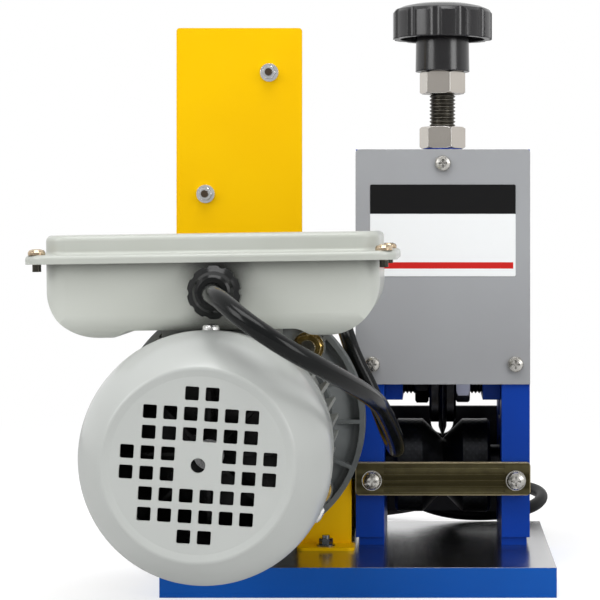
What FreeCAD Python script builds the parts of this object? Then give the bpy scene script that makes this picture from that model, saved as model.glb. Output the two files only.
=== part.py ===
import FreeCAD, Part
import math
import os
from FreeCAD import Vector

# Electric wire stripping machine: a motor and worm gearbox turn a grooved feed roller, and a
# cutting disc above the roller is lowered by a screw with a star knob.
# Millimetres. Origin at the centre of the base's underside, +X right, +Y away from the fan
# end of the motor, +Z up.
os.makedirs("parts", exist_ok=True)

# Clearances
slide_gap = 0.15
shaft_gap = 0.05
free_gap = 0.3

# Base plate
base_length = 250.0
base_depth = 200.0
base_thickness = 19.0
base_top = base_thickness

# Cutter head
head_x = 53.8
head_y = 38.0
head_depth = 100.0
head_height = 266.5
plate_thickness = 17.0
plate_span = 79.0
skin_thickness = 2.0
skin_floor_gap = 5.5
cover_thickness = 1.5
cover_corner = 2.4
cover_screw_head = 5.4
cover_width = 117.4
cover_height = 158.0
top_block_height = 22.0
groove_width = 30.0
groove_depth = 3.0
groove_foot = 82.0

# Derived places of the head
inner_left = head_x - plate_span / 2
inner_right = head_x + plate_span / 2
outer_left = inner_left - plate_thickness - skin_thickness
outer_right = inner_right + plate_thickness + skin_thickness
head_rear = head_y - head_depth / 2
head_front = head_y + head_depth / 2
head_top = base_top + head_height
cover_foot = head_top - cover_height
block_foot = head_top - top_block_height

# Feed roller and its shaft
roller_height = 48.5
roller_radius = 32.2
roller_width = 65.6
groove_half_angle = 45.0
roller_v_half_width = 13.85
roller_chamfer = 2.0
roller_shaft_radius = 10.0
roller_collar_radius = 14.0
head_bearing_radius = 21.0
head_bearing_width = 12.0
shaft_z = base_top + roller_height

# Blade assembly
blade_axle_height = 107.3
axle_radius = 9.0
thread_pitch = 2.5
thread_depth = 1.35
blade_radius = 38.9
blade_thickness = 5.5
blade_bevel = 7.0
blade_edge = 0.4
hub_radius = 28.8
hub_width = 18.4
hub_spigot_radius = 23.0
hub_edge = 1.5
sleeve_radius = 12.0
blade_bearing_radius = 19.0
jam_nut_height = 9.5
jam_nut_width = 27.0
jam_nut_turn = 8.0
axle_z = base_top + blade_axle_height

# Yoke
yoke_leg_thickness = 12.0
yoke_depth = 60.0
yoke_below_axle = 11.0
yoke_bridge_height = 20.0
yoke_bridge_foot = 46.0

# Adjusting screw, knob and nuts
screw_radius = 9.0
journal_radius = 6.0
retainer_radius = 12.0
retainer_height = 5.5
lock_nut_width = 28.0
lock_nut_height = 15.0
lock_washer_radius = 13.8
lock_washer_height = 2.5
lock_nut_turn = -8.0
knob_nut_turn = -11.5
screw_window = 23.0
knob_nut_height = 15.5
knob_hub_radius = 18.8
knob_hub_height = 22.5
knob_radius = 34.5
knob_head_height = 18.0
knob_dome_height = 7.6
knob_lobes = 12
knob_flute_radius = 5.2
knob_phase = 7.0
knob_wall = 5.0

# Tie bar and wire guide
tie_bar_foot = 34.5
tie_bar_height = 22.0
tie_bar_thickness = 6.0
tie_bar_corner = 2.7
tie_bar_ridges = 5
tie_bar_ridge_depth = 0.8
guide_foot = 9.5
guide_height = 75.5
guide_thickness = 5.0
guide_hole_radius = 8.0
guide_hole_above_v = 6.2

# Gearbox
gear_x = -76.7
centre_distance = 40.0
housing_width = 66.0
housing_length = 100.0
housing_height = 121.5
housing_fillet = 8.0
wheel_cavity_radius = 38.0
worm_bore_radius = 21.0
worm_bearing_width = 12.0
worm_bearing_inset = 2.0
housing_end_wall = 3.0
side_cover_radius = 44.0
side_cover_thickness = 6.0
side_cover_spigot = 8.0
wheel_hub_radius = 15.0
wheel_hub_bore = 9.0
wheel_bearing_radius = 27.5
wheel_bearing_width = 9.0
wheel_bearing_seat = 5.0
wheel_tip_radius = 26.0
wheel_width = 18.0
wheel_teeth = 30
worm_tip_radius = 13.5
worm_journal_radius = 10.0
worm_pitch = 5.5
worm_threads = 7
worm_overhang = 28.0
worm_socket = 22.0
worm_end_room = 5.0
worm_relief = 3.0
motor_z = shaft_z + centre_distance
housing_left = gear_x - housing_width / 2
housing_right = gear_x + housing_width / 2
housing_rear = head_y - housing_length / 2
housing_front = head_y + housing_length / 2

# Motor adapter between gearbox and motor
adapter_length = 45.5
adapter_flange_thickness = 9.0
adapter_foot = 64.0
adapter_foot_thickness = 6.0
adapter_neck_radius = 25.0
adapter_cone_radius = 56.0
adapter_neck_length = 12.0
adapter_bore = 21.0
mating_y = housing_rear - adapter_length

# Motor
flange_radius = 80.0
flange_thickness = 10.0
flange_web = 3.0
flange_rim = 3.6
flange_ribs = 16
flange_rib_thickness = 2.6
flange_hub_radius = 60.0
flange_cone_radius = 73.0
flange_neck = 10.0
flange_bolt_circle = 130.0
flange_bolt_angle = 48.0
flange_boss_radius = 11.0
bolt_end_room = 7.0
frame_length = 128.5
frame_barrel_radius = 57.0
frame_wall = 5.0
fin_radius = 63.5
fin_thickness = 2.2
fin_count = 36
fin_free_angle = 30.0
saddle_width = 64.0
saddle_length = 84.0
shield_length = 18.0
shield_wall = 6.0
shaft_radius = 8.5
shaft_end_radius = 7.0
shaft_end_reach = 8.0
shaft_shoulder = 3.0
motor_bearing_radius = 20.0
motor_bearing_width = 12.0
rotor_radius = 34.6
rotor_length = 80.0
air_gap = 0.4
winding_length = 18.0
winding_gap = 4.0
fan_radius = 57.0
fan_width = 24.0
fan_blades = 8
fan_hub_radius = 14.0
fan_plate = 3.0
fan_vane = 2.4
fan_shield_gap = 5.0
flange_y = mating_y - flange_thickness
frame_front_y = flange_y - flange_neck
frame_rear_y = frame_front_y - frame_length
shield_rear_y = frame_rear_y - shield_length
stator_y = (frame_front_y + frame_rear_y) / 2

# Fan cowl
cowl_radius = 69.3
cowl_rim_radius = 66.0
cowl_wall = 1.5
cowl_rim_y = -203.0
cowl_shoulder_y = -266.5
cowl_face_y = -306.5
cowl_face_radius = 51.5
cowl_crease = 2.2
cowl_dish_depth = 1.0
cowl_dish_width = 4.5
cowl_step = 0.6
cowl_step_length = 6.0
vent_size = 7.3
vent_pitch = 10.8
vent_corner = 0.9
vent_turn = -3.5
centre_hole_radius = 3.9
cowl_screw_y = -243.5
cowl_screw_angles = (90.0, 210.0, 330.0)
cowl_lug_width = 16.0
cowl_lug_depth = 6.0
cowl_lug_rear_y = -251.0
cowl_taper = (cowl_radius - cowl_rim_radius) / (cowl_rim_y - cowl_shoulder_y)
cowl_screw_radius = cowl_rim_radius + cowl_taper * (cowl_rim_y - cowl_screw_y)

# Terminal box, turned a little about the motor's axis
box_turn = 0.8
box_half_width = 95.0
box_rear_y = -230.5
box_depth = 130.0
box_wall = 2.5
box_floor = 67.6
box_bulge_drop = 4.3
box_flat_half = 45.0
box_ramp = 14.0
box_corner = 13.0
box_round = 31.0
box_flange_thickness = 2.0
gasket_thickness = 1.0
lip_low = 105.9
lip_height = 5.2
lip_plate = 2.2
lip_wall = 1.6
lip_round = 2.4
lid_overhang = 10.0
lid_crown = 11.0
lid_round = 3.4
lid_cove = 2.0
lid_screw_in = 7.4
lid_screw_tail = 4.2
capacitor_radius = 21.0
capacitor_length = 92.0
capacitor_inset = 17.0
saddle_drop = 12.0
box_front_y = box_rear_y + box_depth
box_rim = lip_low + box_flange_thickness
box_flange_overhang = lid_overhang - lip_wall - free_gap

# Cable glands
gland_nut_radius = 15.0
small_gland_nut_radius = 13.0
gland_dome_radius = 11.6
gland_hex_length = 8.5
gland_hex_width = 22.0
gland_nut_length = 10.0
gland_dome_length = 5.0
gland_lobes = 10
gland_flute_radius = 2.6
gland_stem_radius = 8.6
gland_stem_length = 6.0
box_gland_offset = 3.2
box_gland_height = 89.3

# Switch panel and switch box
panel_left = -127.8
panel_width = 85.7
panel_y = 6.5
panel_thickness = 2.0
panel_top = 369.0
panel_corner = 2.3
panel_foot = 26.0
switch_box_width = 58.0
switch_box_height = 100.0
switch_box_depth = 48.0
switch_box_wall = 2.5
switch_box_corner = 5.0
switch_lid_thickness = 3.0
switch_box_x = -86.2
switch_box_z = 297.2
button_radius = 11.0
button_proud = 5.0
button_spacing = 40.0
button_length = 16.0
button_collar = 1.5
button_collar_height = 2.0
button_edge = 1.2
switch_gland_spacing = 28.0
switch_stud_x = 21.7
switch_stud_z = 41.4

# Shaft guard
guard_wall = 2.0
guard_left = -43.2
guard_body_left = -37.0
guard_right = -7.6
guard_foot_right = -5.0
guard_outer_y = -14.2
guard_height = 91.0
guard_foot_length = 21.0
guard_rear_y = 74.0
guard_rear_foot = 20.0
guard_fixing_x = -24.2
guard_foot_corner = 5.0

# Screw places on the head's two posts
tie_screw_z = base_top + tie_bar_foot + tie_bar_height / 2 - 1.0
guide_screw_in = 10.0
guide_screw_low = base_top + guide_foot + guide_screw_in
guide_screw_high = base_top + guide_foot + guide_height - guide_screw_in
post_left_x = inner_left - plate_thickness / 2 + 0.4
post_right_x = inner_right + plate_thickness / 2 + 0.8
cover_screw_drop = 9.5
cover_screw_rise = 13.5

# Fasteners
bolt8_radius = 4.0
bolt8_head_radius = 6.5
bolt8_head_height = 8.0
bolt8_length = 30.0
bolt8_hole = 4.2
bolt8_sink_radius = 7.5
bolt8_sink_depth = 9.0
bolt8_inset = 25.0
bolt8_edge = 0.6
flange_bolt_radius = 5.0
flange_nut_width = 16.0
flange_nut_height = 8.4
flange_washer_radius = 10.0
flange_bolt_end = 3.5
flange_head_turn = 15.0
flange_nut_turn = 10.0
washer_height = 1.6
pan5_radius = 2.5
pan5_head = 4.9
pan5_head_height = 3.4
pan5_length = 9.0
pan6_radius = 3.0
pan6_head = 6.0
pan6_head_height = 4.2
pan6_length = 22.0
pan6_washer = 6.7
stud5_radius = 2.5
stud5_nut_width = 8.0
stud5_nut_height = 4.0
stud5_washer = 6.2
stud5_washer_height = 1.0

# Label
label_width = 97.8
label_height = 61.7
label_film = 0.3
label_drop = 23.7
label_corner = 1.0

# Cables
motor_cable_diameter = 10.5
mains_diameter = 9.0
coil_radius = 50.0
coil_gap = 2.8
coil_layer_gap = 1.6
coil_layer_half_turns = 4
coil_last_half_turns = 3
coil_lead_in = 9.0
coil_tail = 40.0
coil_x = -62.0
coil_y = 190.0
floor_gap = 0.1
coil_step = mains_diameter + coil_gap
coil_widest = coil_radius + coil_step * coil_layer_half_turns / 4
coil_low = mains_diameter / 2 + floor_gap
coil_entry = (coil_x + coil_lead_in, coil_y + coil_widest, coil_low)

# Mains plug
plug_radius = 14.5
plug_body_length = 34.0
plug_relief_length = 26.0
plug_relief_radius = 6.5
plug_blade_width = 6.3
plug_blade_thickness = 1.5
plug_blade_length = 17.0
plug_blade_spacing = 12.7
plug_pin_radius = 2.4
plug_pin_drop = 8.0
plug_grooves = 3
plug_groove_width = 1.6


# Small modelling helpers
def box(x0, x1, y0, y1, z0, z1):
    return Part.makeBox(x1 - x0, y1 - y0, z1 - z0, Vector(x0, y0, z0))


def rod_x(radius, x0, x1, y, z):
    return Part.makeCylinder(radius, x1 - x0, Vector(x0, y, z), Vector(1, 0, 0))


def rod_y(radius, y0, y1, x, z):
    return Part.makeCylinder(radius, y1 - y0, Vector(x, y0, z), Vector(0, 1, 0))


def rod_z(radius, z0, z1, x, y):
    return Part.makeCylinder(radius, z1 - z0, Vector(x, y, z0), Vector(0, 0, 1))


def tube_x(outer, inner, x0, x1, y, z):
    return rod_x(outer, x0, x1, y, z).cut(rod_x(inner, x0, x1, y, z))


def tube_y(outer, inner, y0, y1, x, z):
    return rod_y(outer, y0, y1, x, z).cut(rod_y(inner, y0, y1, x, z))


def tube_z(outer, inner, z0, z1, x, y):
    return rod_z(outer, z0, z1, x, y).cut(rod_z(inner, z0, z1, x, y))


def join(first, *others):
    return first.multiFuse(list(others)).removeSplitter() if others else first


def turned(profile):
    # A solid of revolution about Z from (radius, height) points.
    points = [Vector(radius, 0, height) for radius, height in profile]
    wire = Part.makePolygon(points + [points[0]])
    return Part.Face(wire).revolve(Vector(0, 0, 0), Vector(0, 0, 1), 360)


def hex_prism(across_flats, height, turn=0.0):
    corner = across_flats / math.sqrt(3)
    angles = [math.radians(60 * step + turn) for step in range(7)]
    points = [Vector(corner * math.cos(angle), corner * math.sin(angle), 0) for angle in angles]
    prism = Part.Face(Part.makePolygon(points)).extrude(Vector(0, 0, height))
    bevel = across_flats * 0.03
    rim = corner + bevel
    cone = turned([(0, 0), (rim - 3 * bevel, 0), (rim, 2 * bevel), (rim, height - 2 * bevel),
                   (rim - 3 * bevel, height), (0, height)])
    return prism.common(cone)


def rounded_plate(width, depth, height, corner):
    # A plate centred on the origin in X and Y with rounded upright edges.
    flat = box(-width / 2, width / 2, -depth / 2, depth / 2, 0, height)
    upright = [edge for edge in flat.Edges if abs(edge.tangentAt(0).z) > 0.9]
    return flat.makeFillet(corner, upright)


def aim(shape, direction, point):
    # Turns a shape made along +Z to a direction and moves its origin to a point.
    turn = FreeCAD.Rotation(Vector(0, 0, 1), Vector(*direction))
    placed = shape.copy()
    placed.Placement = FreeCAD.Placement(Vector(*point), turn)
    return placed


def turned_about_motor(shape, angle):
    placed = shape.copy()
    placed.rotate(Vector(gear_x, 0, motor_z), Vector(0, -1, 0), angle)
    return placed


def polar(radius, angle):
    # A point round the motor's axis, as (x, z), counted from +X towards +Z.
    turn = math.radians(angle)
    return gear_x + radius * math.cos(turn), motor_z + radius * math.sin(turn)


def save(name, *solids):
    shape = solids[0] if len(solids) == 1 else Part.makeCompound(list(solids))
    shape.exportStep("parts/" + name + ".step")
    print(name, len(shape.Solids), "solids", round(shape.Volume), "mm3", shape.isValid())


# Fasteners, each with its head's underside at z = 0 and its shank along -Z
def cross_recess(size, top):
    slot = box(-size, size, -size / 5, size / 5, top - size / 3, top + size)
    other = slot.copy()
    other.rotate(Vector(0, 0, 0), Vector(0, 0, 1), 90)
    return slot.fuse(other)


def pan_screw(radius, head, height, length):
    crown = height * 0.45
    outline = [(0, -length), (radius, -length), (radius, 0), (head, 0), (head, crown),
               (head * 0.86, height * 0.8), (head * 0.5, height), (0, height)]
    return turned(outline).cut(cross_recess(head * 0.55, height))


def washer(outer, inner, height):
    return tube_z(outer, inner, 0, height, 0, 0)


def cap_bolt(length):
    head = turned([(0, 0), (bolt8_head_radius, 0), (bolt8_head_radius, bolt8_head_height - bolt8_edge),
                   (bolt8_head_radius - bolt8_edge, bolt8_head_height), (0, bolt8_head_height)])
    socket = hex_prism(bolt8_radius * 1.5, bolt8_head_height)
    socket.translate(Vector(0, 0, bolt8_head_height / 2))
    return join(head.cut(socket), rod_z(bolt8_radius, -length, 0, 0, 0))


def threaded(radius, z0, z1):
    # Ridges at the thread's pitch stand for the thread between two heights.
    ridges = int((z1 - z0) // thread_pitch)
    start = z1 - ridges * thread_pitch
    profile = [(0, z0), (radius - thread_depth, z0), (radius - thread_depth, start)]
    for ridge in range(ridges):
        low = start + ridge * thread_pitch
        profile.append((radius, low + thread_pitch * 0.44))
        profile.append((radius, low + thread_pitch * 0.56))
        profile.append((radius - thread_depth, low + thread_pitch))
    profile.append((0, z1))
    return turned(profile)


# Base plate and its countersunk bolts
def base_bolt_places():
    left_x = inner_left - plate_thickness / 2
    right_x = inner_right + plate_thickness / 2
    reach_y = head_depth / 2 - bolt8_inset
    places = [(x, head_y + side * reach_y) for x in (left_x, right_x) for side in (-1, 1)]
    gear_reach = housing_width / 2 - bolt8_inset / 2
    gear_y = housing_length / 2 - bolt8_inset / 2
    places += [(gear_x + a * gear_reach, head_y + b * gear_y) for a in (-1, 1) for b in (-1, 1)]
    return places


def block_bolt_places():
    reach_y = head_depth / 2 - bolt8_inset
    return [(head_y + side * reach_y, head_top - top_block_height / 2) for side in (-1, 1)]


def guard_fixing_places():
    rear_y = guard_rear_y + guard_rear_foot / 2
    front_y = guard_outer_y - guard_foot_length / 2
    return [(guard_fixing_x, front_y), (guard_fixing_x, rear_y)]


def build_base():
    plate = box(-base_length / 2, base_length / 2, -base_depth / 2, base_depth / 2, 0, base_thickness)
    for x, y in base_bolt_places():
        plate = plate.cut(rod_z(bolt8_hole, 0, base_thickness, x, y))
        plate = plate.cut(rod_z(bolt8_sink_radius, 0, bolt8_sink_depth, x, y))
    for x, y in guard_fixing_places():
        plate = plate.cut(rod_z(stud5_radius, base_thickness / 2, base_thickness, x, y))
    save("base_plate", plate)


def build_frame_bolts():
    bolts = []
    for x, y in base_bolt_places():
        bolts.append(aim(cap_bolt(bolt8_length), (0, 0, -1), (x, y, bolt8_sink_depth)))
    for y, z in block_bolt_places():
        left_seat = outer_left + skin_thickness + bolt8_sink_depth
        right_seat = outer_right - skin_thickness - bolt8_sink_depth
        bolts.append(aim(cap_bolt(bolt8_length), (-1, 0, 0), (left_seat, y, z)))
        bolts.append(aim(cap_bolt(bolt8_length), (1, 0, 0), (right_seat, y, z)))
    for a in (-1, 1):
        for b in (-1, 1):
            reach = adapter_foot / 2 - bolt8_sink_radius
            seat_y = housing_rear - adapter_foot_thickness
            place = (gear_x + a * reach, seat_y, motor_z + b * reach)
            bolts.append(aim(cap_bolt(bolt8_length / 2), (0, -1, 0), place))
    save("frame_bolts", *bolts)


# Cutter head: side plates, folded covers, top block, grey covers
def side_plate(side):
    inner = head_x + side * plate_span / 2
    outer = inner + side * plate_thickness
    low_x, high_x = min(inner, outer), max(inner, outer)
    rear, front = head_rear + skin_thickness, head_front - skin_thickness
    plate = box(low_x, high_x, rear, front, base_top, head_top)
    groove_inner, groove_outer = inner, inner + side * groove_depth
    plate = plate.cut(box(min(groove_inner, groove_outer), max(groove_inner, groove_outer),
                          head_y - groove_width / 2, head_y + groove_width / 2,
                          base_top + groove_foot, block_foot))
    pocket = sorted((inner, inner + side * head_bearing_width))
    plate = plate.cut(rod_x(head_bearing_radius, pocket[0], pocket[1], head_y, shaft_z))
    if side < 0:
        plate = plate.cut(rod_x(roller_shaft_radius + 1, low_x, high_x, head_y, shaft_z))
    for y, z in block_bolt_places():
        sink = sorted((outer, outer - side * bolt8_sink_depth))
        plate = plate.cut(rod_x(bolt8_hole, low_x, high_x, y, z))
        plate = plate.cut(rod_x(bolt8_sink_radius, sink[0], sink[1], y, z))
    for x, y in base_bolt_places():
        if low_x < x < high_x:
            depth = bolt8_length - (base_thickness - bolt8_sink_depth)
            plate = plate.cut(rod_z(bolt8_radius, base_top, base_top + depth, x, y))
    for x, y, z, facing in cover_screw_places():
        if low_x < x < high_x:
            plate = plate.cut(screw_hole(pan5_radius, x, y, z, facing, pan5_length))
    for x, y, z, facing in tie_screw_places():
        if low_x < x < high_x:
            plate = plate.cut(screw_hole(pan6_radius, x, y, z, facing, pan6_length))
    return plate


def screw_hole(radius, x, y, z, facing, depth):
    low, high = sorted((y, y - facing * depth))
    return rod_y(radius, low, high, x, z)


def cover_screw_places():
    # x, seat y, z and the way the head faces, for the screws of both grey covers.
    places = []
    for facing, seat in ((-1, head_rear - cover_thickness), (1, head_front + cover_thickness)):
        places.append((head_x, seat, head_top - cover_screw_drop, facing))
        places.append((post_left_x, seat, cover_foot + cover_screw_rise, facing))
        places.append((post_right_x, seat, cover_foot + cover_screw_rise, facing))
    return places


def tie_screw_places():
    places = []
    for x in (post_left_x, post_right_x):
        places.append((x, head_rear - tie_bar_thickness - washer_height, tie_screw_z, -1))
        for z in (guide_screw_low, guide_screw_high):
            places.append((x, head_front + guide_thickness + washer_height, z, 1))
    return places


def side_cover(side):
    inner = head_x + side * plate_span / 2
    plate_outer = inner + side * plate_thickness
    outer = plate_outer + side * skin_thickness
    low, high = min(inner, outer), max(inner, outer)
    shell = box(low, high, head_rear, head_front, base_top + skin_floor_gap, head_top)
    core = sorted((inner - side * skin_thickness, plate_outer))
    shell = shell.cut(box(core[0], core[1], head_rear + skin_thickness,
                          head_front - skin_thickness, 0, head_top + skin_thickness))
    for x, y, z, facing in cover_screw_places():
        if low < x < high:
            shell = shell.cut(screw_hole(pan5_radius, x, y, z, facing, pan5_length))
    for x, y, z, facing in tie_screw_places():
        if low < x < high:
            shell = shell.cut(screw_hole(pan6_radius, x, y, z, facing, pan6_length))
    if side < 0:
        shell = shell.cut(rod_x(roller_shaft_radius + 1, low, high, head_y, shaft_z))
    return shell


def build_head():
    save("left_side_plate", side_plate(-1))
    save("right_side_plate", side_plate(1))
    save("side_covers", side_cover(-1), side_cover(1))
    block = box(inner_left, inner_right, head_rear, head_front, block_foot, head_top)
    block = block.cut(rod_z(screw_radius + shaft_gap, block_foot, head_top, head_x, head_y))
    reach = bolt8_length - (plate_thickness - bolt8_sink_depth)
    for y, z in block_bolt_places():
        block = block.cut(rod_x(bolt8_radius, inner_left, inner_left + reach, y, z))
        block = block.cut(rod_x(bolt8_radius, inner_right - reach, inner_right, y, z))
    for x, y, z, facing in cover_screw_places():
        if inner_left < x < inner_right:
            block = block.cut(screw_hole(pan5_radius, x, y, z, facing, pan5_length))
    save("top_block", block)
    for name, facing, face in (("rear_cover", -1, head_rear), ("front_cover", 1, head_front)):
        near, far = sorted((face, face + facing * cover_thickness))
        sheet = box(head_x - cover_width / 2, head_x + cover_width / 2, near, far, cover_foot, head_top)
        corners = [edge for edge in sheet.Edges
                   if abs(edge.tangentAt(0).y) > 0.9 and edge.CenterOfMass.z > head_top - 1]
        sheet = sheet.makeFillet(cover_corner, corners)
        for x, y, z, way in cover_screw_places():
            if way == facing:
                sheet = sheet.cut(rod_y(pan5_radius, near, far, x, z))
        save(name, sheet)
    screws = []
    for x, y, z, facing in cover_screw_places():
        screw = pan_screw(pan5_radius, cover_screw_head, pan5_head_height, pan5_length)
        screws.append(aim(screw, (0, facing, 0), (x, y, z)))
    save("cover_screws", *screws)
    label = rounded_plate(label_width, label_height, label_film, label_corner)
    label_z = head_top - label_drop - label_height / 2
    place = (head_x, head_rear - cover_thickness, label_z)
    save("cover_label", aim(label, (0, -1, 0), place))


# Ribbed tie bar on the rear, wire guide on the front, and their screws
def build_bars():
    foot = base_top + tie_bar_foot
    top = foot + tie_bar_height
    face_y = head_rear - tie_bar_thickness
    left, right = head_x - cover_width / 2, head_x + cover_width / 2
    bar = rounded_plate(right - left, tie_bar_height, tie_bar_thickness, tie_bar_corner)
    bar = aim(bar, (0, -1, 0), ((left + right) / 2, head_rear, (foot + top) / 2))
    groove_height = tie_bar_height / (2 * tie_bar_ridges + 1)
    for ridge in range(tie_bar_ridges):
        low = foot + groove_height * (2 * ridge + 1)
        groove_left = post_left_x + pan6_washer + 1
        groove_right = post_right_x - pan6_washer - 1
        bar = bar.cut(box(groove_left, groove_right, face_y, face_y + tie_bar_ridge_depth,
                          low, low + groove_height))
    guide = box(outer_left, outer_right, head_front, head_front + guide_thickness,
                base_top + guide_foot, base_top + guide_foot + guide_height)
    guide_hole_z = shaft_z + roller_radius - roller_v_half_width + guide_hole_above_v
    guide = guide.cut(rod_y(guide_hole_radius, head_front, head_front + guide_thickness,
                            head_x, guide_hole_z))
    screws = []
    for x, y, z, facing in tie_screw_places():
        if facing < 0:
            bar = bar.cut(rod_y(pan6_radius, face_y, head_rear, x, z))
        else:
            guide = guide.cut(rod_y(pan6_radius, head_front, head_front + guide_thickness, x, z))
        screw = pan_screw(pan6_radius, pan6_head, pan6_head_height, pan6_length)
        screws.append(aim(screw, (0, facing, 0), (x, y, z)))
        ring = washer(pan6_washer, pan6_radius, washer_height)
        screws.append(aim(ring, (0, facing, 0), (x, y - facing * washer_height, z)))
    save("tie_bar", bar)
    save("wire_guide", guide)
    save("bar_screws", *screws)


# Feed roller on its shaft, in two bearings in the side plates
def build_roller():
    half = roller_width / 2
    groove_floor = roller_radius - roller_v_half_width * math.tan(math.radians(groove_half_angle))
    profile = [(roller_shaft_radius, -half), (roller_radius - roller_chamfer, -half),
               (roller_radius, -half + roller_chamfer), (roller_radius, -roller_v_half_width),
               (groove_floor, 0), (roller_radius, roller_v_half_width),
               (roller_radius, half - roller_chamfer), (roller_radius - roller_chamfer, half),
               (roller_shaft_radius, half)]
    save("feed_roller", aim(turned(profile), (1, 0, 0), (head_x, head_y, shaft_z)))
    far_end = inner_right + head_bearing_width - free_gap
    gear_end = gear_x - housing_width / 2 - side_cover_thickness
    step_x = gear_x + housing_width / 2 + side_cover_thickness + free_gap
    shaft = join(rod_x(roller_shaft_radius - shaft_gap, step_x, far_end, head_y, shaft_z),
                 rod_x(wheel_hub_bore, gear_end, step_x, head_y, shaft_z))
    collar_left = tube_x(roller_collar_radius, roller_shaft_radius - shaft_gap,
                         inner_left + free_gap, head_x - half, head_y, shaft_z)
    collar_right = tube_x(roller_collar_radius, roller_shaft_radius - shaft_gap,
                          head_x + half, inner_right - free_gap, head_y, shaft_z)
    save("roller_shaft", shaft, collar_left, collar_right)


# Blade: hub halves, disc and bearings that turn on the axle's sleeve
def build_blade():
    half = hub_width / 2
    disc_half = blade_thickness / 2
    bore = blade_bearing_radius
    left_half = turned([(bore, -half), (hub_radius - hub_edge, -half), (hub_radius, -half + hub_edge),
                        (hub_radius, -disc_half), (hub_spigot_radius, -disc_half),
                        (hub_spigot_radius, disc_half), (bore, disc_half)])
    right_half = turned([(bore, disc_half), (hub_radius, disc_half), (hub_radius, half - hub_edge),
                         (hub_radius - hub_edge, half), (bore, half)])
    disc = turned([(hub_spigot_radius, -disc_half), (blade_radius - blade_bevel, -disc_half),
                   (blade_radius, -blade_edge / 2), (blade_radius, blade_edge / 2),
                   (blade_radius - blade_bevel, disc_half), (hub_spigot_radius, disc_half)])
    centre = (head_x, head_y, axle_z)
    save("blade_hub", aim(left_half, (1, 0, 0), centre), aim(right_half, (1, 0, 0), centre))
    save("cutting_disc", aim(disc, (1, 0, 0), centre))
    ring_in = sleeve_radius + shaft_gap
    left_bearing = tube_x(bore, ring_in, head_x - half, head_x, head_y, axle_z)
    right_bearing = tube_x(bore, ring_in, head_x, head_x + half, head_y, axle_z)
    save("blade_bearings", left_bearing, right_bearing)


# Yoke that slides in the plates' grooves and carries the blade axle
def build_yoke():
    left = inner_left + slide_gap
    right = inner_right - slide_gap
    foot = axle_z - yoke_below_axle
    bridge_foot = axle_z + yoke_bridge_foot
    bridge_top = bridge_foot + yoke_bridge_height
    rear, front = head_y - yoke_depth / 2, head_y + yoke_depth / 2
    yoke = box(left, right, rear, front, foot, bridge_top)
    yoke = yoke.cut(box(left + yoke_leg_thickness, right - yoke_leg_thickness, rear, front,
                        foot, bridge_foot))
    tongue_half = groove_width / 2 - slide_gap
    tongue_reach = groove_depth - slide_gap
    for inner, outer in ((left, left - tongue_reach), (right, right + tongue_reach)):
        yoke = yoke.fuse(box(min(inner, outer), max(inner, outer), head_y - tongue_half,
                             head_y + tongue_half, foot, bridge_top))
    yoke = yoke.removeSplitter()
    yoke = yoke.cut(rod_x(axle_radius, left - groove_depth, right + groove_depth, head_y, axle_z))
    yoke = yoke.cut(rod_z(journal_radius + shaft_gap, bridge_foot, bridge_top, head_x, head_y))
    save("blade_yoke", yoke)
    length = right - left
    axle = threaded(axle_radius, -length / 2, length / 2)
    sleeve = tube_z(sleeve_radius, axle_radius, -hub_width / 2 - free_gap,
                    hub_width / 2 + free_gap, 0, 0)
    centre = (head_x, head_y, axle_z)
    save("blade_axle", aim(axle, (1, 0, 0), centre), aim(sleeve, (1, 0, 0), centre))
    nuts = []
    for side in (-1, 1):
        nut = hex_prism(jam_nut_width, jam_nut_height, jam_nut_turn).cut(
            rod_z(axle_radius, 0, jam_nut_height, 0, 0))
        seat = head_x + side * (hub_width / 2 + free_gap)
        nuts.append(aim(nut, (side, 0, 0), (seat, head_y, axle_z)))
    save("axle_nuts", *nuts)


# Adjusting screw with its knob, jam nut and retainer, and the lock nut on the head
def build_screw():
    bridge_foot = axle_z + yoke_bridge_foot
    bridge_top = bridge_foot + yoke_bridge_height
    lock_top = head_top + lock_washer_height + lock_nut_height
    knob_nut_foot = lock_top + screw_window
    hub_foot = knob_nut_foot + knob_nut_height
    knob_foot = hub_foot + knob_hub_height
    screw_top = knob_foot + knob_head_height / 2
    thread = threaded(screw_radius, bridge_top + slide_gap, screw_top)
    journal_foot = bridge_foot - retainer_height - free_gap
    screw = join(thread, rod_z(journal_radius, journal_foot, bridge_top + slide_gap, 0, 0))
    screw.translate(Vector(head_x, head_y, 0))
    save("adjusting_screw", screw)
    retainer = tube_z(retainer_radius, journal_radius, journal_foot, bridge_foot - free_gap,
                      head_x, head_y)
    save("screw_retainer", retainer)
    knob_nut = hex_prism(lock_nut_width, knob_nut_height, knob_nut_turn).cut(
        rod_z(screw_radius, 0, knob_nut_height, 0, 0))
    save("knob_nut", aim(knob_nut, (0, 0, 1), (head_x, head_y, knob_nut_foot)))
    lock_nut = hex_prism(lock_nut_width, lock_nut_height, lock_nut_turn).cut(
        rod_z(screw_radius + shaft_gap, 0, lock_nut_height, 0, 0))
    ring = washer(lock_washer_radius, screw_radius + free_gap, lock_washer_height)
    save("lock_nut", aim(lock_nut, (0, 0, 1), (head_x, head_y, head_top + lock_washer_height)),
         aim(ring, (0, 0, 1), (head_x, head_y, head_top)))
    save("star_knob", star_knob(hub_foot, knob_foot))


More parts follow.
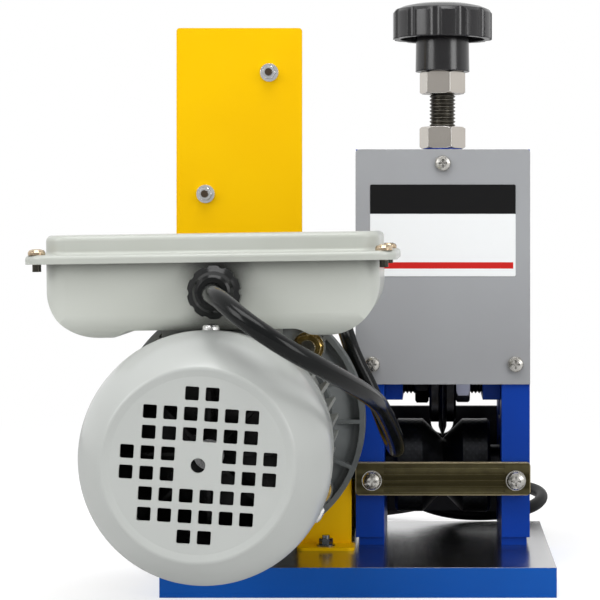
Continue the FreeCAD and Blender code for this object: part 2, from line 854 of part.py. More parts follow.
def star_knob(hub_foot, knob_foot):
    shoulder = knob_foot + knob_head_height
    crown = shoulder + knob_dome_height
    rim = knob_radius
    outline = [(0, hub_foot), (knob_hub_radius, hub_foot), (knob_hub_radius - 0.4, knob_foot + knob_wall),
               (rim - knob_wall, knob_foot + knob_wall), (rim - knob_wall, knob_foot),
               (rim, knob_foot), (rim, shoulder)]
    for step in range(1, 6):
        radius = rim * math.cos(math.radians(18 * step))
        rise = knob_dome_height * math.sin(math.radians(18 * step))
        outline.append((radius, shoulder + rise))
    outline[-1] = (0, crown)
    knob = turned(outline)
    flute_centre = rim + knob_flute_radius * 0.62
    for lobe in range(knob_lobes):
        angle = math.radians(knob_phase - 90 + 360 * (lobe + 0.5) / knob_lobes)
        knob = knob.cut(rod_z(knob_flute_radius, knob_foot - 1, crown,
                              flute_centre * math.cos(angle), flute_centre * math.sin(angle)))
    knob = knob.cut(rod_z(screw_radius, hub_foot, knob_foot + knob_head_height / 2, 0, 0))
    knob.translate(Vector(head_x, head_y, 0))
    return knob


# Worm gearbox: housing, side covers, hollow wheel hub, wheel and worm
def build_gearbox():
    housing = box(housing_left, housing_right, housing_rear, housing_front,
                  base_top, base_top + housing_height)
    long_edges = [edge for edge in housing.Edges
                  if abs(edge.tangentAt(0).x) > 0.9 and edge.CenterOfMass.z > base_top + 1]
    housing = housing.makeFillet(housing_fillet, long_edges)
    housing = housing.cut(rod_x(wheel_cavity_radius, housing_left, housing_right, head_y, shaft_z))
    housing = housing.cut(rod_y(worm_bore_radius, housing_rear, housing_front - housing_end_wall,
                                gear_x, motor_z))
    for x, y in base_bolt_places():
        if housing_left < x < housing_right:
            depth = bolt8_length - (base_thickness - bolt8_sink_depth)
            housing = housing.cut(rod_z(bolt8_radius, base_top, base_top + depth, x, y))
    reach = adapter_foot / 2 - bolt8_sink_radius
    for a in (-1, 1):
        for b in (-1, 1):
            depth = bolt8_length / 2 - adapter_foot_thickness
            housing = housing.cut(rod_y(bolt8_radius, housing_rear, housing_rear + depth,
                                        gear_x + a * reach, motor_z + b * reach))
    for x, y, z in panel_foot_screws():
        housing = housing.cut(rod_z(pan5_radius, z - pan5_length, z, x, y))
    save("gearbox_housing", housing)
    covers = []
    for side in (-1, 1):
        face = gear_x + side * housing_width / 2
        outer = sorted((face, face + side * side_cover_thickness))
        inner = sorted((face, face - side * side_cover_spigot))
        cover = join(rod_x(side_cover_radius, outer[0], outer[1], head_y, shaft_z),
                     rod_x(wheel_cavity_radius, inner[0], inner[1], head_y, shaft_z))
        cover = cover.cut(rod_x(wheel_bearing_radius,
                                inner[0] if side > 0 else outer[0] + wheel_bearing_seat,
                                inner[1] if side < 0 else outer[1] - wheel_bearing_seat,
                                head_y, shaft_z))
        cover = cover.cut(rod_x(wheel_hub_radius + free_gap, min(outer[0], inner[0]),
                                max(outer[1], inner[1]), head_y, shaft_z))
        covers.append(cover)
    save("gearbox_side_covers", *covers)
    reach = housing_width / 2 + side_cover_thickness
    hub = tube_x(wheel_hub_radius - shaft_gap, wheel_hub_bore, gear_x - reach, gear_x + reach,
                 head_y, shaft_z)
    save("wheel_hub", hub)
    wheel = tube_z(wheel_tip_radius, wheel_hub_radius - shaft_gap, -wheel_width / 2,
                   wheel_width / 2, 0, 0)
    slot_width = math.pi * wheel_tip_radius / wheel_teeth
    for tooth in range(wheel_teeth):
        slot = box(wheel_tip_radius - worm_pitch / 2, wheel_tip_radius + 1, -slot_width / 2,
                   slot_width / 2, -wheel_width, wheel_width)
        slot.rotate(Vector(0, 0, 0), Vector(0, 0, 1), 360 * tooth / wheel_teeth)
        wheel = wheel.cut(slot)
    save("worm_wheel", aim(wheel, (1, 0, 0), (gear_x, head_y, shaft_z)))
    save("worm", worm_shape())


def worm_shape():
    thread_half = worm_threads * worm_pitch / 2
    rear_end = -(housing_length / 2 + worm_overhang)
    front_end = housing_length / 2 - worm_end_room
    socket_end = -housing_length / 2 + worm_socket
    root = worm_tip_radius - worm_pitch / 2
    journal = worm_journal_radius - shaft_gap
    profile = [(shaft_end_radius, rear_end), (journal, rear_end), (journal, -thread_half - worm_relief)]
    for ridge in range(worm_threads):
        low = -thread_half + ridge * worm_pitch
        profile += [(root, low), (worm_tip_radius, low + worm_pitch * 0.3),
                    (worm_tip_radius, low + worm_pitch * 0.7), (root, low + worm_pitch)]
    profile += [(journal, thread_half + worm_relief), (journal, front_end), (0, front_end),
                (0, socket_end), (shaft_end_radius, socket_end)]
    return aim(turned(profile), (0, 1, 0), (gear_x, head_y, motor_z))


def build_adapter():
    foot_y = housing_rear - adapter_foot_thickness
    neck_y = foot_y - adapter_neck_length
    disc_y = mating_y + adapter_flange_thickness
    foot = box(gear_x - adapter_foot / 2, gear_x + adapter_foot / 2, foot_y, housing_rear,
               motor_z - adapter_foot / 2, motor_z + adapter_foot / 2)
    cone = Part.makeCone(adapter_cone_radius, adapter_neck_radius, neck_y - disc_y,
                         Vector(gear_x, disc_y, motor_z), Vector(0, 1, 0))
    bell = join(foot, rod_y(adapter_neck_radius, neck_y, foot_y, gear_x, motor_z), cone,
                rod_y(flange_radius, mating_y, disc_y, gear_x, motor_z))
    bell = bell.cut(rod_y(adapter_bore, mating_y, housing_rear, gear_x, motor_z))
    for x, z in flange_bolt_places():
        bell = bell.cut(rod_y(flange_bolt_radius, mating_y, disc_y + 20, x, z))
        bell = bell.cut(rod_y(flange_washer_radius, disc_y, disc_y + 20, x, z))
    reach = adapter_foot / 2 - bolt8_sink_radius
    for a in (-1, 1):
        for b in (-1, 1):
            bell = bell.cut(rod_y(bolt8_radius, foot_y, housing_rear, gear_x + a * reach,
                                  motor_z + b * reach))
    save("motor_adapter", bell)


def flange_bolt_places():
    return [polar(flange_bolt_circle / 2, flange_bolt_angle + 90 * step) for step in range(4)]


# Motor: flange shield, finned frame, rear shield, stator, rotor, shaft, fan
def build_motor():
    web_y = mating_y - flange_web
    shield = tube_y(flange_radius, flange_radius - flange_rim, flange_y, mating_y, gear_x, motor_z)
    pieces = [rod_y(flange_radius - 1, web_y, mating_y, gear_x, motor_z),
              rod_y(flange_hub_radius, frame_front_y, mating_y, gear_x, motor_z),
              Part.makeCone(flange_hub_radius, flange_cone_radius, web_y - flange_y,
                            Vector(gear_x, flange_y, motor_z), Vector(0, 1, 0))]
    for rib in range(flange_ribs):
        blade = box(flange_hub_radius - 2, flange_radius - 1, flange_y, web_y + 1,
                    -flange_rib_thickness / 2, flange_rib_thickness / 2)
        blade.rotate(Vector(0, 0, 0), Vector(0, -1, 0), 360 * rib / flange_ribs)
        blade.translate(Vector(gear_x, 0, motor_z))
        pieces.append(blade)
    for x, z in flange_bolt_places():
        pieces.append(rod_y(flange_boss_radius, flange_y, mating_y, x, z))
    shield = join(shield, *pieces)
    for x, z in flange_bolt_places():
        shield = shield.cut(rod_y(flange_bolt_radius, flange_y, mating_y, x, z))
        shield = shield.cut(rod_y(flange_washer_radius + 0.5, frame_front_y, flange_y, x, z))
    shield = shield.cut(rod_y(motor_bearing_radius, frame_front_y, frame_front_y + motor_bearing_width,
                              gear_x, motor_z))
    shield = shield.cut(rod_y(shaft_radius + 1, frame_front_y, mating_y, gear_x, motor_z))
    save("flange_shield", shield)
    bolts = []
    for x, z in flange_bolt_places():
        head_y_face = mating_y + adapter_flange_thickness
        head = hex_prism(flange_nut_width, flange_nut_height * 0.75, flange_head_turn)
        bolt_rear = flange_y - washer_height - flange_nut_height - flange_bolt_end
        bolts.append(join(aim(head, (0, 1, 0), (x, head_y_face, z)),
                          rod_y(flange_bolt_radius, bolt_rear, head_y_face, x, z)))
        bolts.append(tube_y(flange_washer_radius, flange_bolt_radius, flange_y - washer_height,
                            flange_y, x, z))
        nut = hex_prism(flange_nut_width, flange_nut_height, flange_nut_turn).cut(
            rod_z(flange_bolt_radius, 0, flange_nut_height, 0, 0))
        bolts.append(aim(nut, (0, -1, 0), (x, flange_y - washer_height, z)))
    save("flange_bolts", *bolts)
    save("motor_frame", motor_frame())
    rim = tube_y(cowl_radius, cowl_rim_radius - cowl_wall - shield_wall, shield_rear_y,
                 frame_rear_y, gear_x, motor_z)
    web = rod_y(cowl_radius, frame_rear_y - shield_wall, frame_rear_y, gear_x, motor_z)
    hub = rod_y(motor_bearing_radius + shield_wall, frame_rear_y - shield_length, frame_rear_y,
                gear_x, motor_z)
    rear = join(rim, web, hub)
    rear = rear.cut(rod_y(motor_bearing_radius, frame_rear_y - motor_bearing_width, frame_rear_y,
                          gear_x, motor_z))
    rear = rear.cut(rod_y(shaft_radius + 1, shield_rear_y, frame_rear_y, gear_x, motor_z))
    for angle in cowl_screw_angles:
        lug = box(cowl_rim_radius - cowl_wall - cowl_lug_depth, cowl_radius, cowl_lug_rear_y,
                  shield_rear_y + 1, -cowl_lug_width / 2, cowl_lug_width / 2)
        lug.rotate(Vector(0, 0, 0), Vector(0, -1, 0), angle)
        lug.translate(Vector(gear_x, 0, motor_z))
        rear = rear.fuse(lug)
    cowl_inside = aim(cowl_body(cowl_wall), (0, 1, 0), (gear_x, 0, motor_z))
    rear = rear.common(cowl_inside)
    for place, way in cowl_screw_seats():
        rear = rear.cut(aim(rod_z(pan5_radius, -pan5_length, 0, 0, 0), way, place))
    save("rear_shield", rear.removeSplitter())
    core = tube_y(frame_barrel_radius - frame_wall, rotor_radius + air_gap,
                  stator_y - rotor_length / 2, stator_y + rotor_length / 2, gear_x, motor_z)
    windings = [tube_y(frame_barrel_radius - frame_wall - winding_gap, rotor_radius + winding_gap, start,
                       start + winding_length, gear_x, motor_z)
                for start in (stator_y - rotor_length / 2 - winding_length,
                              stator_y + rotor_length / 2)]
    save("stator", core, *windings)
    save("rotor_core", tube_y(rotor_radius, shaft_radius + shaft_shoulder, stator_y - rotor_length / 2,
                              stator_y + rotor_length / 2, gear_x, motor_z))
    shaft = join(rod_y(shaft_radius - shaft_gap, shield_rear_y - fan_width - 6, mating_y,
                       gear_x, motor_z),
                 rod_y(shaft_radius + shaft_shoulder, stator_y - rotor_length / 2 - 4,
                       stator_y + rotor_length / 2 + 4, gear_x, motor_z),
                 rod_y(shaft_end_radius, mating_y, housing_rear + shaft_end_reach, gear_x, motor_z))
    save("motor_shaft", shaft)
    save("cooling_fan", cooling_fan())


def cowl_screw_seats():
    # Seat and outward way of each cowl screw, square to the tapered skirt.
    seats = []
    for angle in cowl_screw_angles:
        x, z = polar(cowl_screw_radius, angle)
        way = (x - gear_x, cowl_screw_radius * cowl_taper, z - motor_z)
        seats.append(((x, cowl_screw_y, z), way))
    return seats


def motor_frame():
    frame = tube_y(frame_barrel_radius, frame_barrel_radius - frame_wall, frame_rear_y,
                   frame_front_y, gear_x, motor_z)
    fins = []
    for fin in range(fin_count):
        angle = 360 * (fin + 0.5) / fin_count
        if abs(angle - 90) < fin_free_angle:
            continue
        blade = box(frame_barrel_radius - 1, fin_radius, frame_rear_y, frame_front_y,
                    -fin_thickness / 2, fin_thickness / 2)
        blade.rotate(Vector(0, 0, 0), Vector(0, -1, 0), angle)
        blade.translate(Vector(gear_x, 0, motor_z))
        fins.append(blade)
    saddle_y = (box_rear_y + box_front_y) / 2
    saddle_z = motor_z + frame_barrel_radius - saddle_drop
    saddle = box(gear_x - saddle_width / 2, gear_x + saddle_width / 2,
                 cowl_rim_y + free_gap, saddle_y + saddle_length / 2,
                 saddle_z, motor_z + box_floor)
    saddle = turned_about_motor(saddle, box_turn)
    bore = rod_y(frame_barrel_radius - 1, frame_rear_y, frame_front_y, gear_x, motor_z)
    body = join(frame, saddle.cut(bore), *fins)
    for x, z in flange_bolt_places():
        body = body.cut(rod_y(flange_washer_radius + 0.5, frame_front_y - bolt_end_room, frame_front_y,
                              x, z))
    return body


def cooling_fan():
    start = shield_rear_y - fan_shield_gap - fan_width
    hub = tube_y(fan_hub_radius, shaft_radius - shaft_gap, start, start + fan_width, gear_x, motor_z)
    plate = tube_y(fan_radius, fan_hub_radius - 1, start + fan_width - fan_plate, start + fan_width,
                   gear_x, motor_z)
    blades = []
    for blade in range(fan_blades):
        vane = box(fan_hub_radius - 2, fan_radius - 1, start, start + fan_width - fan_plate + 1,
                   -fan_vane / 2, fan_vane / 2)
        vane.rotate(Vector(0, 0, 0), Vector(0, -1, 0), 360 * blade / fan_blades)
        vane.translate(Vector(gear_x, 0, motor_z))
        blades.append(vane)
    return join(hub, plate, *blades)


# Fan cowl: a spun shell with a field of square vents
def cowl_body(inset):
    # The cowl's outer form, or its inner form when inset by the wall.
    face = cowl_face_y + inset
    skirt = cowl_radius - inset
    reach = cowl_shoulder_y - cowl_face_y
    drop = cowl_radius - cowl_face_radius
    arc_radius = (drop ** 2 + reach ** 2) / (2 * drop) - inset
    centre_r = cowl_radius - (drop ** 2 + reach ** 2) / (2 * drop)
    face_turn = math.asin((cowl_shoulder_y - face) / arc_radius)
    face_r = centre_r + arc_radius * math.cos(face_turn)
    mid_turn = face_turn / 2
    mid = Vector(centre_r + arc_radius * math.cos(mid_turn), 0,
                 cowl_shoulder_y - arc_radius * math.sin(mid_turn))
    a, b = Vector(0, 0, face + cowl_dish_depth), Vector(face_r, 0, face)
    c = Vector(skirt, 0, cowl_shoulder_y)
    d, e = Vector(cowl_rim_radius - inset, 0, cowl_rim_y), Vector(0, 0, cowl_rim_y)
    dish = Vector(face_r - cowl_dish_width, 0, face + cowl_dish_depth)
    edges = [Part.makeLine(a, dish), Part.makeLine(dish, b), Part.Arc(b, mid, c).toShape(),
             Part.makeLine(c, d), Part.makeLine(d, e), Part.makeLine(e, a)]
    solid = Part.Face(Part.Wire(edges)).revolve(Vector(0, 0, 0), Vector(0, 0, 1), 360)
    crease = [edge for edge in solid.Edges
              if hasattr(edge.Curve, "Radius") and abs(edge.CenterOfMass.z - face) < 0.01
              and abs(edge.Curve.Radius - face_r) < 0.01]
    return solid.makeFillet(cowl_crease - inset, crease)


def vent_cells():
    # Column and row of each vent in the eight by eight field, counted from its centre.
    cells = []
    for row in range(8):
        for column in range(8):
            outer_row = row in (0, 7)
            middle_row = row in (3, 4)
            shown = column in (3, 4) if outer_row else 1 <= column <= 6
            if middle_row:
                shown = column not in (3, 4)
            if shown:
                cells.append((column - 3.5, row - 3.5))
    return cells


def build_cowl():
    shell = cowl_body(0.0).cut(cowl_body(cowl_wall))
    step = tube_z(cowl_rim_radius + cowl_step, cowl_rim_radius - cowl_step,
                  cowl_rim_y - cowl_step_length, cowl_rim_y, 0, 0)
    shell = join(shell, step)
    vents = []
    for column, row in vent_cells():
        vent = rounded_plate(vent_size, vent_size, 12.0, vent_corner)
        vent.translate(Vector(column * vent_pitch, row * vent_pitch, cowl_face_y - 3))
        vents.append(vent)
    vents.append(rod_z(centre_hole_radius, cowl_face_y - 3, cowl_face_y + 9, 0, 0))
    field = Part.makeCompound(vents)
    field.rotate(Vector(0, 0, 0), Vector(0, 0, 1), -vent_turn)
    shell = shell.cut(field)
    shell = aim(shell, (0, 1, 0), (gear_x, 0, motor_z))
    screws = []
    for place, way in cowl_screw_seats():
        shell = shell.cut(aim(rod_z(pan5_radius, -pan5_length, pan5_length, 0, 0), way, place))
        screw = pan_screw(pan5_radius, pan5_head, pan5_head_height, pan5_length)
        screws.append(aim(screw, way, place))
    save("fan_cowl", shell)
    save("cowl_screws", *screws)


# Terminal box on the motor's saddle, its lid, gasket, capacitors and screws
def rounded_block(half_width, rear, front, low, high, corner):
    plate = rounded_plate(2 * half_width, front - rear, high - low, corner)
    plate.translate(Vector(gear_x, (rear + front) / 2, low))
    return plate


def box_form(inset):
    # The deep tray's form: flat in the middle, a round-bottomed bulge at each side.
    floor = motor_z + box_floor + inset
    bulge = floor - box_bulge_drop
    rim = motor_z + box_rim
    side = box_half_width - inset
    round_radius = box_round - inset
    centre_x = box_half_width - box_round
    centre_z = motor_z + box_floor - box_bulge_drop + box_round
    def point(dx, z):
        return Vector(gear_x + dx, box_rear_y + inset, z)
    diagonal = round_radius * math.sqrt(0.5)
    ramp_radius = box_ramp ** 2 / (4 * box_bulge_drop) + box_bulge_drop / 4
    ramp_sag = ramp_radius - math.sqrt(ramp_radius ** 2 - (box_ramp / 4) ** 2)
    edges = []
    for way in (1, -1):
        edges.append(Part.makeLine(point(way * side, rim), point(way * side, centre_z)))
        edges.append(Part.Arc(point(way * side, centre_z),
                              point(way * (centre_x + diagonal), centre_z - diagonal),
                              point(way * centre_x, bulge)).toShape())
        ramp_end, ramp_start = box_flat_half + box_ramp, box_flat_half
        edges.append(Part.makeLine(point(way * centre_x, bulge), point(way * ramp_end, bulge)))
        halfway = point(way * (ramp_start + ramp_end) / 2, (bulge + floor) / 2)
        low_curve = point(way * (ramp_end - box_ramp / 4), bulge + ramp_sag)
        high_curve = point(way * (ramp_start + box_ramp / 4), floor - ramp_sag)
        edges.append(Part.Arc(point(way * ramp_end, bulge), low_curve, halfway).toShape())
        edges.append(Part.Arc(halfway, high_curve, point(way * ramp_start, floor)).toShape())
    edges.append(Part.makeLine(point(-box_flat_half, floor), point(box_flat_half, floor)))
    edges.append(Part.makeLine(point(side, rim), point(-side, rim)))
    outline = Part.Wire(Part.__sortEdges__(edges))
    tray = Part.Face(outline).extrude(Vector(0, box_depth - 2 * inset, 0))
    corner = box_corner - inset
    plan = rounded_block(side, box_rear_y + inset, box_front_y - inset, bulge - 1, rim, corner)
    section = box(gear_x - side, gear_x + side, box_rear_y + inset, box_front_y - inset,
                  bulge, rim + corner)
    long_edges = [edge for edge in section.Edges
                  if abs(edge.tangentAt(0).x) > 0.9 and edge.CenterOfMass.z < bulge + 1]
    section = section.makeFillet(corner, long_edges)
    return tray.common(plan).common(section)


def lid_foot_edge(edge, level):
    # True for the edges where the lid's crown meets its lip.
    bounds = edge.BoundBox
    level_edge = abs(bounds.ZMin - level) < 0.01 and abs(bounds.ZMax - level) < 0.01
    inside_x = abs(edge.CenterOfMass.x - gear_x) < box_half_width + 0.1
    inside_y = box_rear_y - 0.1 < edge.CenterOfMass.y < box_front_y + 0.1
    return level_edge and inside_x and inside_y


def lid_screw_places():
    reach_x = box_half_width + lid_overhang - lid_screw_in
    rear = box_rear_y - lid_overhang + lid_screw_in
    front = box_front_y + lid_overhang - lid_screw_in
    return [(gear_x + side * reach_x, y) for side in (-1, 1) for y in (rear, front)]


def build_terminal_box():
    rim = motor_z + box_rim
    lip_foot = motor_z + lip_low
    lip_top = lip_foot + lip_height
    crown_top = lip_top + lid_crown
    tray = join(box_form(0.0), rounded_block(
        box_half_width + box_flange_overhang, box_rear_y - box_flange_overhang,
        box_front_y + box_flange_overhang, lip_foot, rim, box_corner))
    hollow = box_form(box_wall)
    tray = tray.cut(hollow)
    gland_z = motor_z + box_gland_height
    tray = tray.cut(rod_y(gland_stem_radius, box_rear_y - 1, box_rear_y + gland_stem_length,
                          gear_x + box_gland_offset, gland_z))
    gasket = rounded_block(box_half_width + box_flange_overhang, box_rear_y - box_flange_overhang,
                           box_front_y + box_flange_overhang, rim, rim + gasket_thickness,
                           box_corner)
    opening = rounded_block(box_half_width - box_wall, box_rear_y + box_wall, box_front_y - box_wall,
                            rim, rim + gasket_thickness, box_corner - box_wall)
    gasket = gasket.cut(opening)
    lip = rounded_block(box_half_width + lid_overhang, box_rear_y - lid_overhang,
                        box_front_y + lid_overhang, lip_foot, lip_top, box_corner)
    lip = lip.makeFillet(lip_round, [edge for edge in lip.Edges if edge.CenterOfMass.z > lip_top - 0.1])
    crown = rounded_block(box_half_width, box_rear_y, box_front_y, lip_foot, crown_top, box_corner)
    crown_edges = [edge for edge in crown.Edges if edge.CenterOfMass.z > crown_top - 0.1]
    crown = crown.makeFillet(lid_round, crown_edges)
    lid = join(lip, crown)
    lid = lid.makeFillet(lid_cove, [edge for edge in lid.Edges if lid_foot_edge(edge, lip_top)])
    recess = rounded_block(box_half_width + lid_overhang - lip_wall, box_rear_y - lid_overhang + lip_wall,
                           box_front_y + lid_overhang - lip_wall, lip_foot, lip_top - lip_plate,
                           box_corner)
    cavity = rounded_block(box_half_width - box_wall, box_rear_y + box_wall, box_front_y - box_wall,
                           lip_foot, crown_top - box_wall, box_corner - box_wall)
    ceiling = [edge for edge in cavity.Edges if edge.CenterOfMass.z > crown_top - box_wall - 0.1]
    cavity = cavity.makeFillet(lid_round - box_wall, ceiling)
    lid = lid.cut(recess).cut(cavity)
    screws = []
    screw_length = lip_height + lid_screw_tail
    for x, y in lid_screw_places():
        screw = pan_screw(pan5_radius, pan5_head, pan5_head_height, screw_length)
        screws.append(aim(screw, (0, 0, 1), (x, y, lip_top)))
        hole = rod_z(pan5_radius, lip_top - screw_length, lip_top, x, y)
        tray, gasket, lid = tray.cut(hole), gasket.cut(hole), lid.cut(hole)
    capacitors = []
    capacitor_z = motor_z + box_floor - box_bulge_drop + box_wall + free_gap + capacitor_radius
    for side in (-1, 1):
        can_rear = box_rear_y + capacitor_inset
        capacitors.append(rod_y(capacitor_radius, can_rear, can_rear + capacitor_length,
                                gear_x + side * (box_half_width - box_round), capacitor_z))
    save("terminal_box", turned_about_motor(tray, box_turn))
    save("lid_gasket", turned_about_motor(gasket, box_turn))
    save("terminal_lid", turned_about_motor(lid, box_turn))
    save("lid_screws", *[turned_about_motor(screw, box_turn) for screw in screws])
    save("capacitors", *[turned_about_motor(can, box_turn) for can in capacitors])


# Cable glands: a hexagon against the wall, a lobed nut and a domed ring; the bore is the cable's
def gland(cable_radius, nut_radius):
    body = hex_prism(gland_hex_width, gland_hex_length)
    inner_end = -gland_stem_length
    stem = rod_z(gland_stem_radius - free_gap, inner_end, gland_hex_length, 0, 0)
    body = join(body, stem).cut(rod_z(cable_radius + free_gap, inner_end, gland_hex_length, 0, 0))
    nut_low = gland_hex_length
    nut_high = nut_low + gland_nut_length
    tip = nut_high + gland_dome_length
    nut = turned([(cable_radius, nut_low), (nut_radius, nut_low), (nut_radius, nut_high - 2),
                  (gland_dome_radius + 1.2, nut_high), (gland_dome_radius, nut_high + 1),
                  (gland_dome_radius - 1.6, tip - 1.2), (gland_dome_radius - 3.2, tip),
                  (cable_radius, tip)])
    for lobe in range(gland_lobes):
        angle = 2 * math.pi * lobe / gland_lobes
        centre = nut_radius + gland_flute_radius - 1
        nut = nut.cut(rod_z(gland_flute_radius, nut_low, nut_high, centre * math.cos(angle),
                            centre * math.sin(angle)))
    return body, nut


def build_glands():
    pieces = []
    for piece in gland(motor_cable_diameter / 2, gland_nut_radius):
        placed = aim(piece, (0, -1, 0), (gear_x + box_gland_offset, box_rear_y,
                                         motor_z + box_gland_height))
        pieces.append(turned_about_motor(placed, box_turn))
    foot_z = switch_box_z - switch_box_height / 2
    middle_y = panel_y + panel_thickness + switch_box_depth / 2
    for side, diameter in ((1, motor_cable_diameter), (-1, mains_diameter)):
        x = switch_box_x + side * switch_gland_spacing / 2
        pieces += [aim(piece, (0, 0, -1), (x, middle_y, foot_z))
                   for piece in gland(diameter / 2, small_gland_nut_radius)]
    save("cable_glands", *pieces)


# Switch panel on the gearbox, the switch box behind it and two buttons
def panel_foot_screws():
    y = panel_y + panel_thickness + panel_foot / 2
    z = base_top + housing_height + panel_thickness
    return [(gear_x + side * housing_width / 4, y, z) for side in (-1, 1)]


def panel_fixing_places():
    return [(switch_box_x + switch_stud_x, switch_box_z + switch_stud_z),
            (switch_box_x - switch_stud_x, switch_box_z - switch_stud_z)]


def stud_fixing(depth):
    # A stud with its washer and nut; the face it stands on is z = 0.
    top = stud5_washer_height + stud5_nut_height
    nut = hex_prism(stud5_nut_width, stud5_nut_height)
    nut.translate(Vector(0, 0, stud5_washer_height))
    nut = nut.cut(rod_z(stud5_radius, 0, top, 0, 0))
    return [rod_z(stud5_radius, -depth, top + 2.0, 0, 0),
            washer(stud5_washer, stud5_radius, stud5_washer_height), nut]


def build_switch():
    foot_z = base_top + housing_height
    middle = (panel_left + panel_left + panel_width) / 2
    sheet = rounded_plate(panel_width, panel_top - foot_z, panel_thickness, panel_corner)
    sheet = aim(sheet, (0, -1, 0), (middle, panel_y + panel_thickness, (panel_top + foot_z) / 2))
    foot = box(housing_left, housing_right, panel_y, panel_y + panel_thickness + panel_foot,
               foot_z, foot_z + panel_thickness)
    panel = join(sheet, foot)
    front = panel_y + panel_thickness
    screws = []
    for x, y, z in panel_foot_screws():
        panel = panel.cut(rod_z(pan5_radius, z - panel_thickness, z, x, y))
        screw = pan_screw(pan5_radius, pan5_head, pan5_head_height, pan5_length)
        screws.append(aim(screw, (0, 0, 1), (x, y, z)))
    case = rounded_plate(switch_box_width, switch_box_height, switch_box_depth, switch_box_corner)
    hollow = rounded_plate(switch_box_width - 2 * switch_box_wall,
                           switch_box_height - 2 * switch_box_wall, switch_box_depth,
                           switch_box_corner - switch_box_wall)
    hollow.translate(Vector(0, 0, switch_box_wall))
    case = aim(case.cut(hollow), (0, 1, 0), (switch_box_x, front, switch_box_z))
    lid_y = front + switch_box_depth
    lid = rounded_plate(switch_box_width, switch_box_height, switch_lid_thickness, switch_box_corner)
    lid = aim(lid, (0, 1, 0), (switch_box_x, lid_y, switch_box_z))
    fixings = list(screws)
    for x, z in panel_fixing_places():
        panel = panel.cut(rod_y(stud5_radius, panel_y, front, x, z))
        case = case.cut(rod_y(stud5_radius, front, front + switch_box_wall, x, z))
        fixings += [aim(piece, (0, -1, 0), (x, panel_y, z))
                    for piece in stud_fixing(panel_thickness + switch_box_wall + 2)]
    middle_y = front + switch_box_depth / 2
    box_foot = switch_box_z - switch_box_height / 2
    for side in (-1, 1):
        x = switch_box_x + side * switch_gland_spacing / 2
        case = case.cut(rod_z(gland_stem_radius, box_foot - 1, box_foot + switch_box_wall + 1,
                              x, middle_y))
    for name, side in (("start_button", 1), ("stop_button", -1)):
        z = switch_box_z + side * button_spacing / 2
        lid = lid.cut(rod_y(button_radius + free_gap, lid_y, lid_y + switch_lid_thickness,
                            switch_box_x, z))
        face = lid_y + switch_lid_thickness + button_proud
        cap = turned([(0, -button_length), (button_radius, -button_length),
                      (button_radius, -button_edge), (button_radius - button_edge, 0), (0, 0)])
        lip = tube_z(button_radius + button_collar, button_radius - button_edge, -button_length,
                     button_collar_height - button_length, 0, 0)
        cap = join(cap, lip)
        save(name, aim(cap, (0, 1, 0), (switch_box_x, face, z)))
    save("switch_panel", panel)
    save("switch_box", case)
    save("switch_box_lid", lid)
    for x, y in guard_fixing_places():
        fixings += [aim(piece, (0, 0, 1), (x, y, base_top + guard_wall))
                    for piece in stud_fixing(guard_wall + base_thickness / 2)]
    save("panel_and_guard_fixings", *fixings)


# Guard over the shaft between gearbox and head
def build_guard():
    top = base_top + guard_height
    rear_wall = box(guard_left, guard_right, guard_outer_y, guard_outer_y + guard_wall, base_top, top)
    roof = box(guard_body_left, guard_right, guard_outer_y, guard_rear_y, top - guard_wall, top)
    front_wall = box(guard_body_left, guard_right, guard_rear_y - guard_wall, guard_rear_y,
                     base_top, top)
    rear_foot = rounded_plate(guard_foot_right - guard_left, guard_foot_length + 2 * guard_foot_corner,
                              guard_wall, guard_foot_corner)
    rear_foot.translate(Vector((guard_foot_right + guard_left) / 2,
                               guard_outer_y - guard_foot_length / 2 + guard_foot_corner, base_top))
    rear_foot = rear_foot.cut(box(guard_left - 1, guard_foot_right + 1, guard_outer_y + guard_wall,
                                  guard_outer_y + 40, base_top, base_top + guard_wall))
    front_foot = box(guard_body_left, guard_right, guard_rear_y - guard_wall,
                     guard_rear_y + guard_rear_foot, base_top, base_top + guard_wall)
    guard = join(rear_wall, roof, front_wall, rear_foot, front_foot)
    for x, y in guard_fixing_places():
        guard = guard.cut(rod_z(stud5_radius, base_top, base_top + guard_wall, x, y))
    save("shaft_guard", guard)


# Fixed bearings, one ring solid for each
def build_bearings():
    rings = []
    for start in (inner_left - head_bearing_width, inner_right):
        rings.append(tube_x(head_bearing_radius, roller_shaft_radius, start,
                            start + head_bearing_width, head_y, shaft_z))
    for side in (-1, 1):
        outer = gear_x + side * (housing_width / 2 + side_cover_thickness - wheel_bearing_seat)
        span = sorted((outer, outer - side * wheel_bearing_width))
        rings.append(tube_x(wheel_bearing_radius, wheel_hub_radius, span[0], span[1], head_y, shaft_z))
    worm_bearing_front = housing_front - housing_end_wall - worm_bearing_inset - worm_bearing_width
    for start in (housing_rear + worm_bearing_inset, worm_bearing_front):
        rings.append(tube_y(worm_bore_radius, worm_journal_radius, start,
                            start + worm_bearing_width, gear_x, motor_z))
    for start in (frame_front_y, frame_rear_y - motor_bearing_width):
        rings.append(tube_y(motor_bearing_radius, shaft_radius, start,
                            start + motor_bearing_width, gear_x, motor_z))
    save("ball_bearings", *rings)


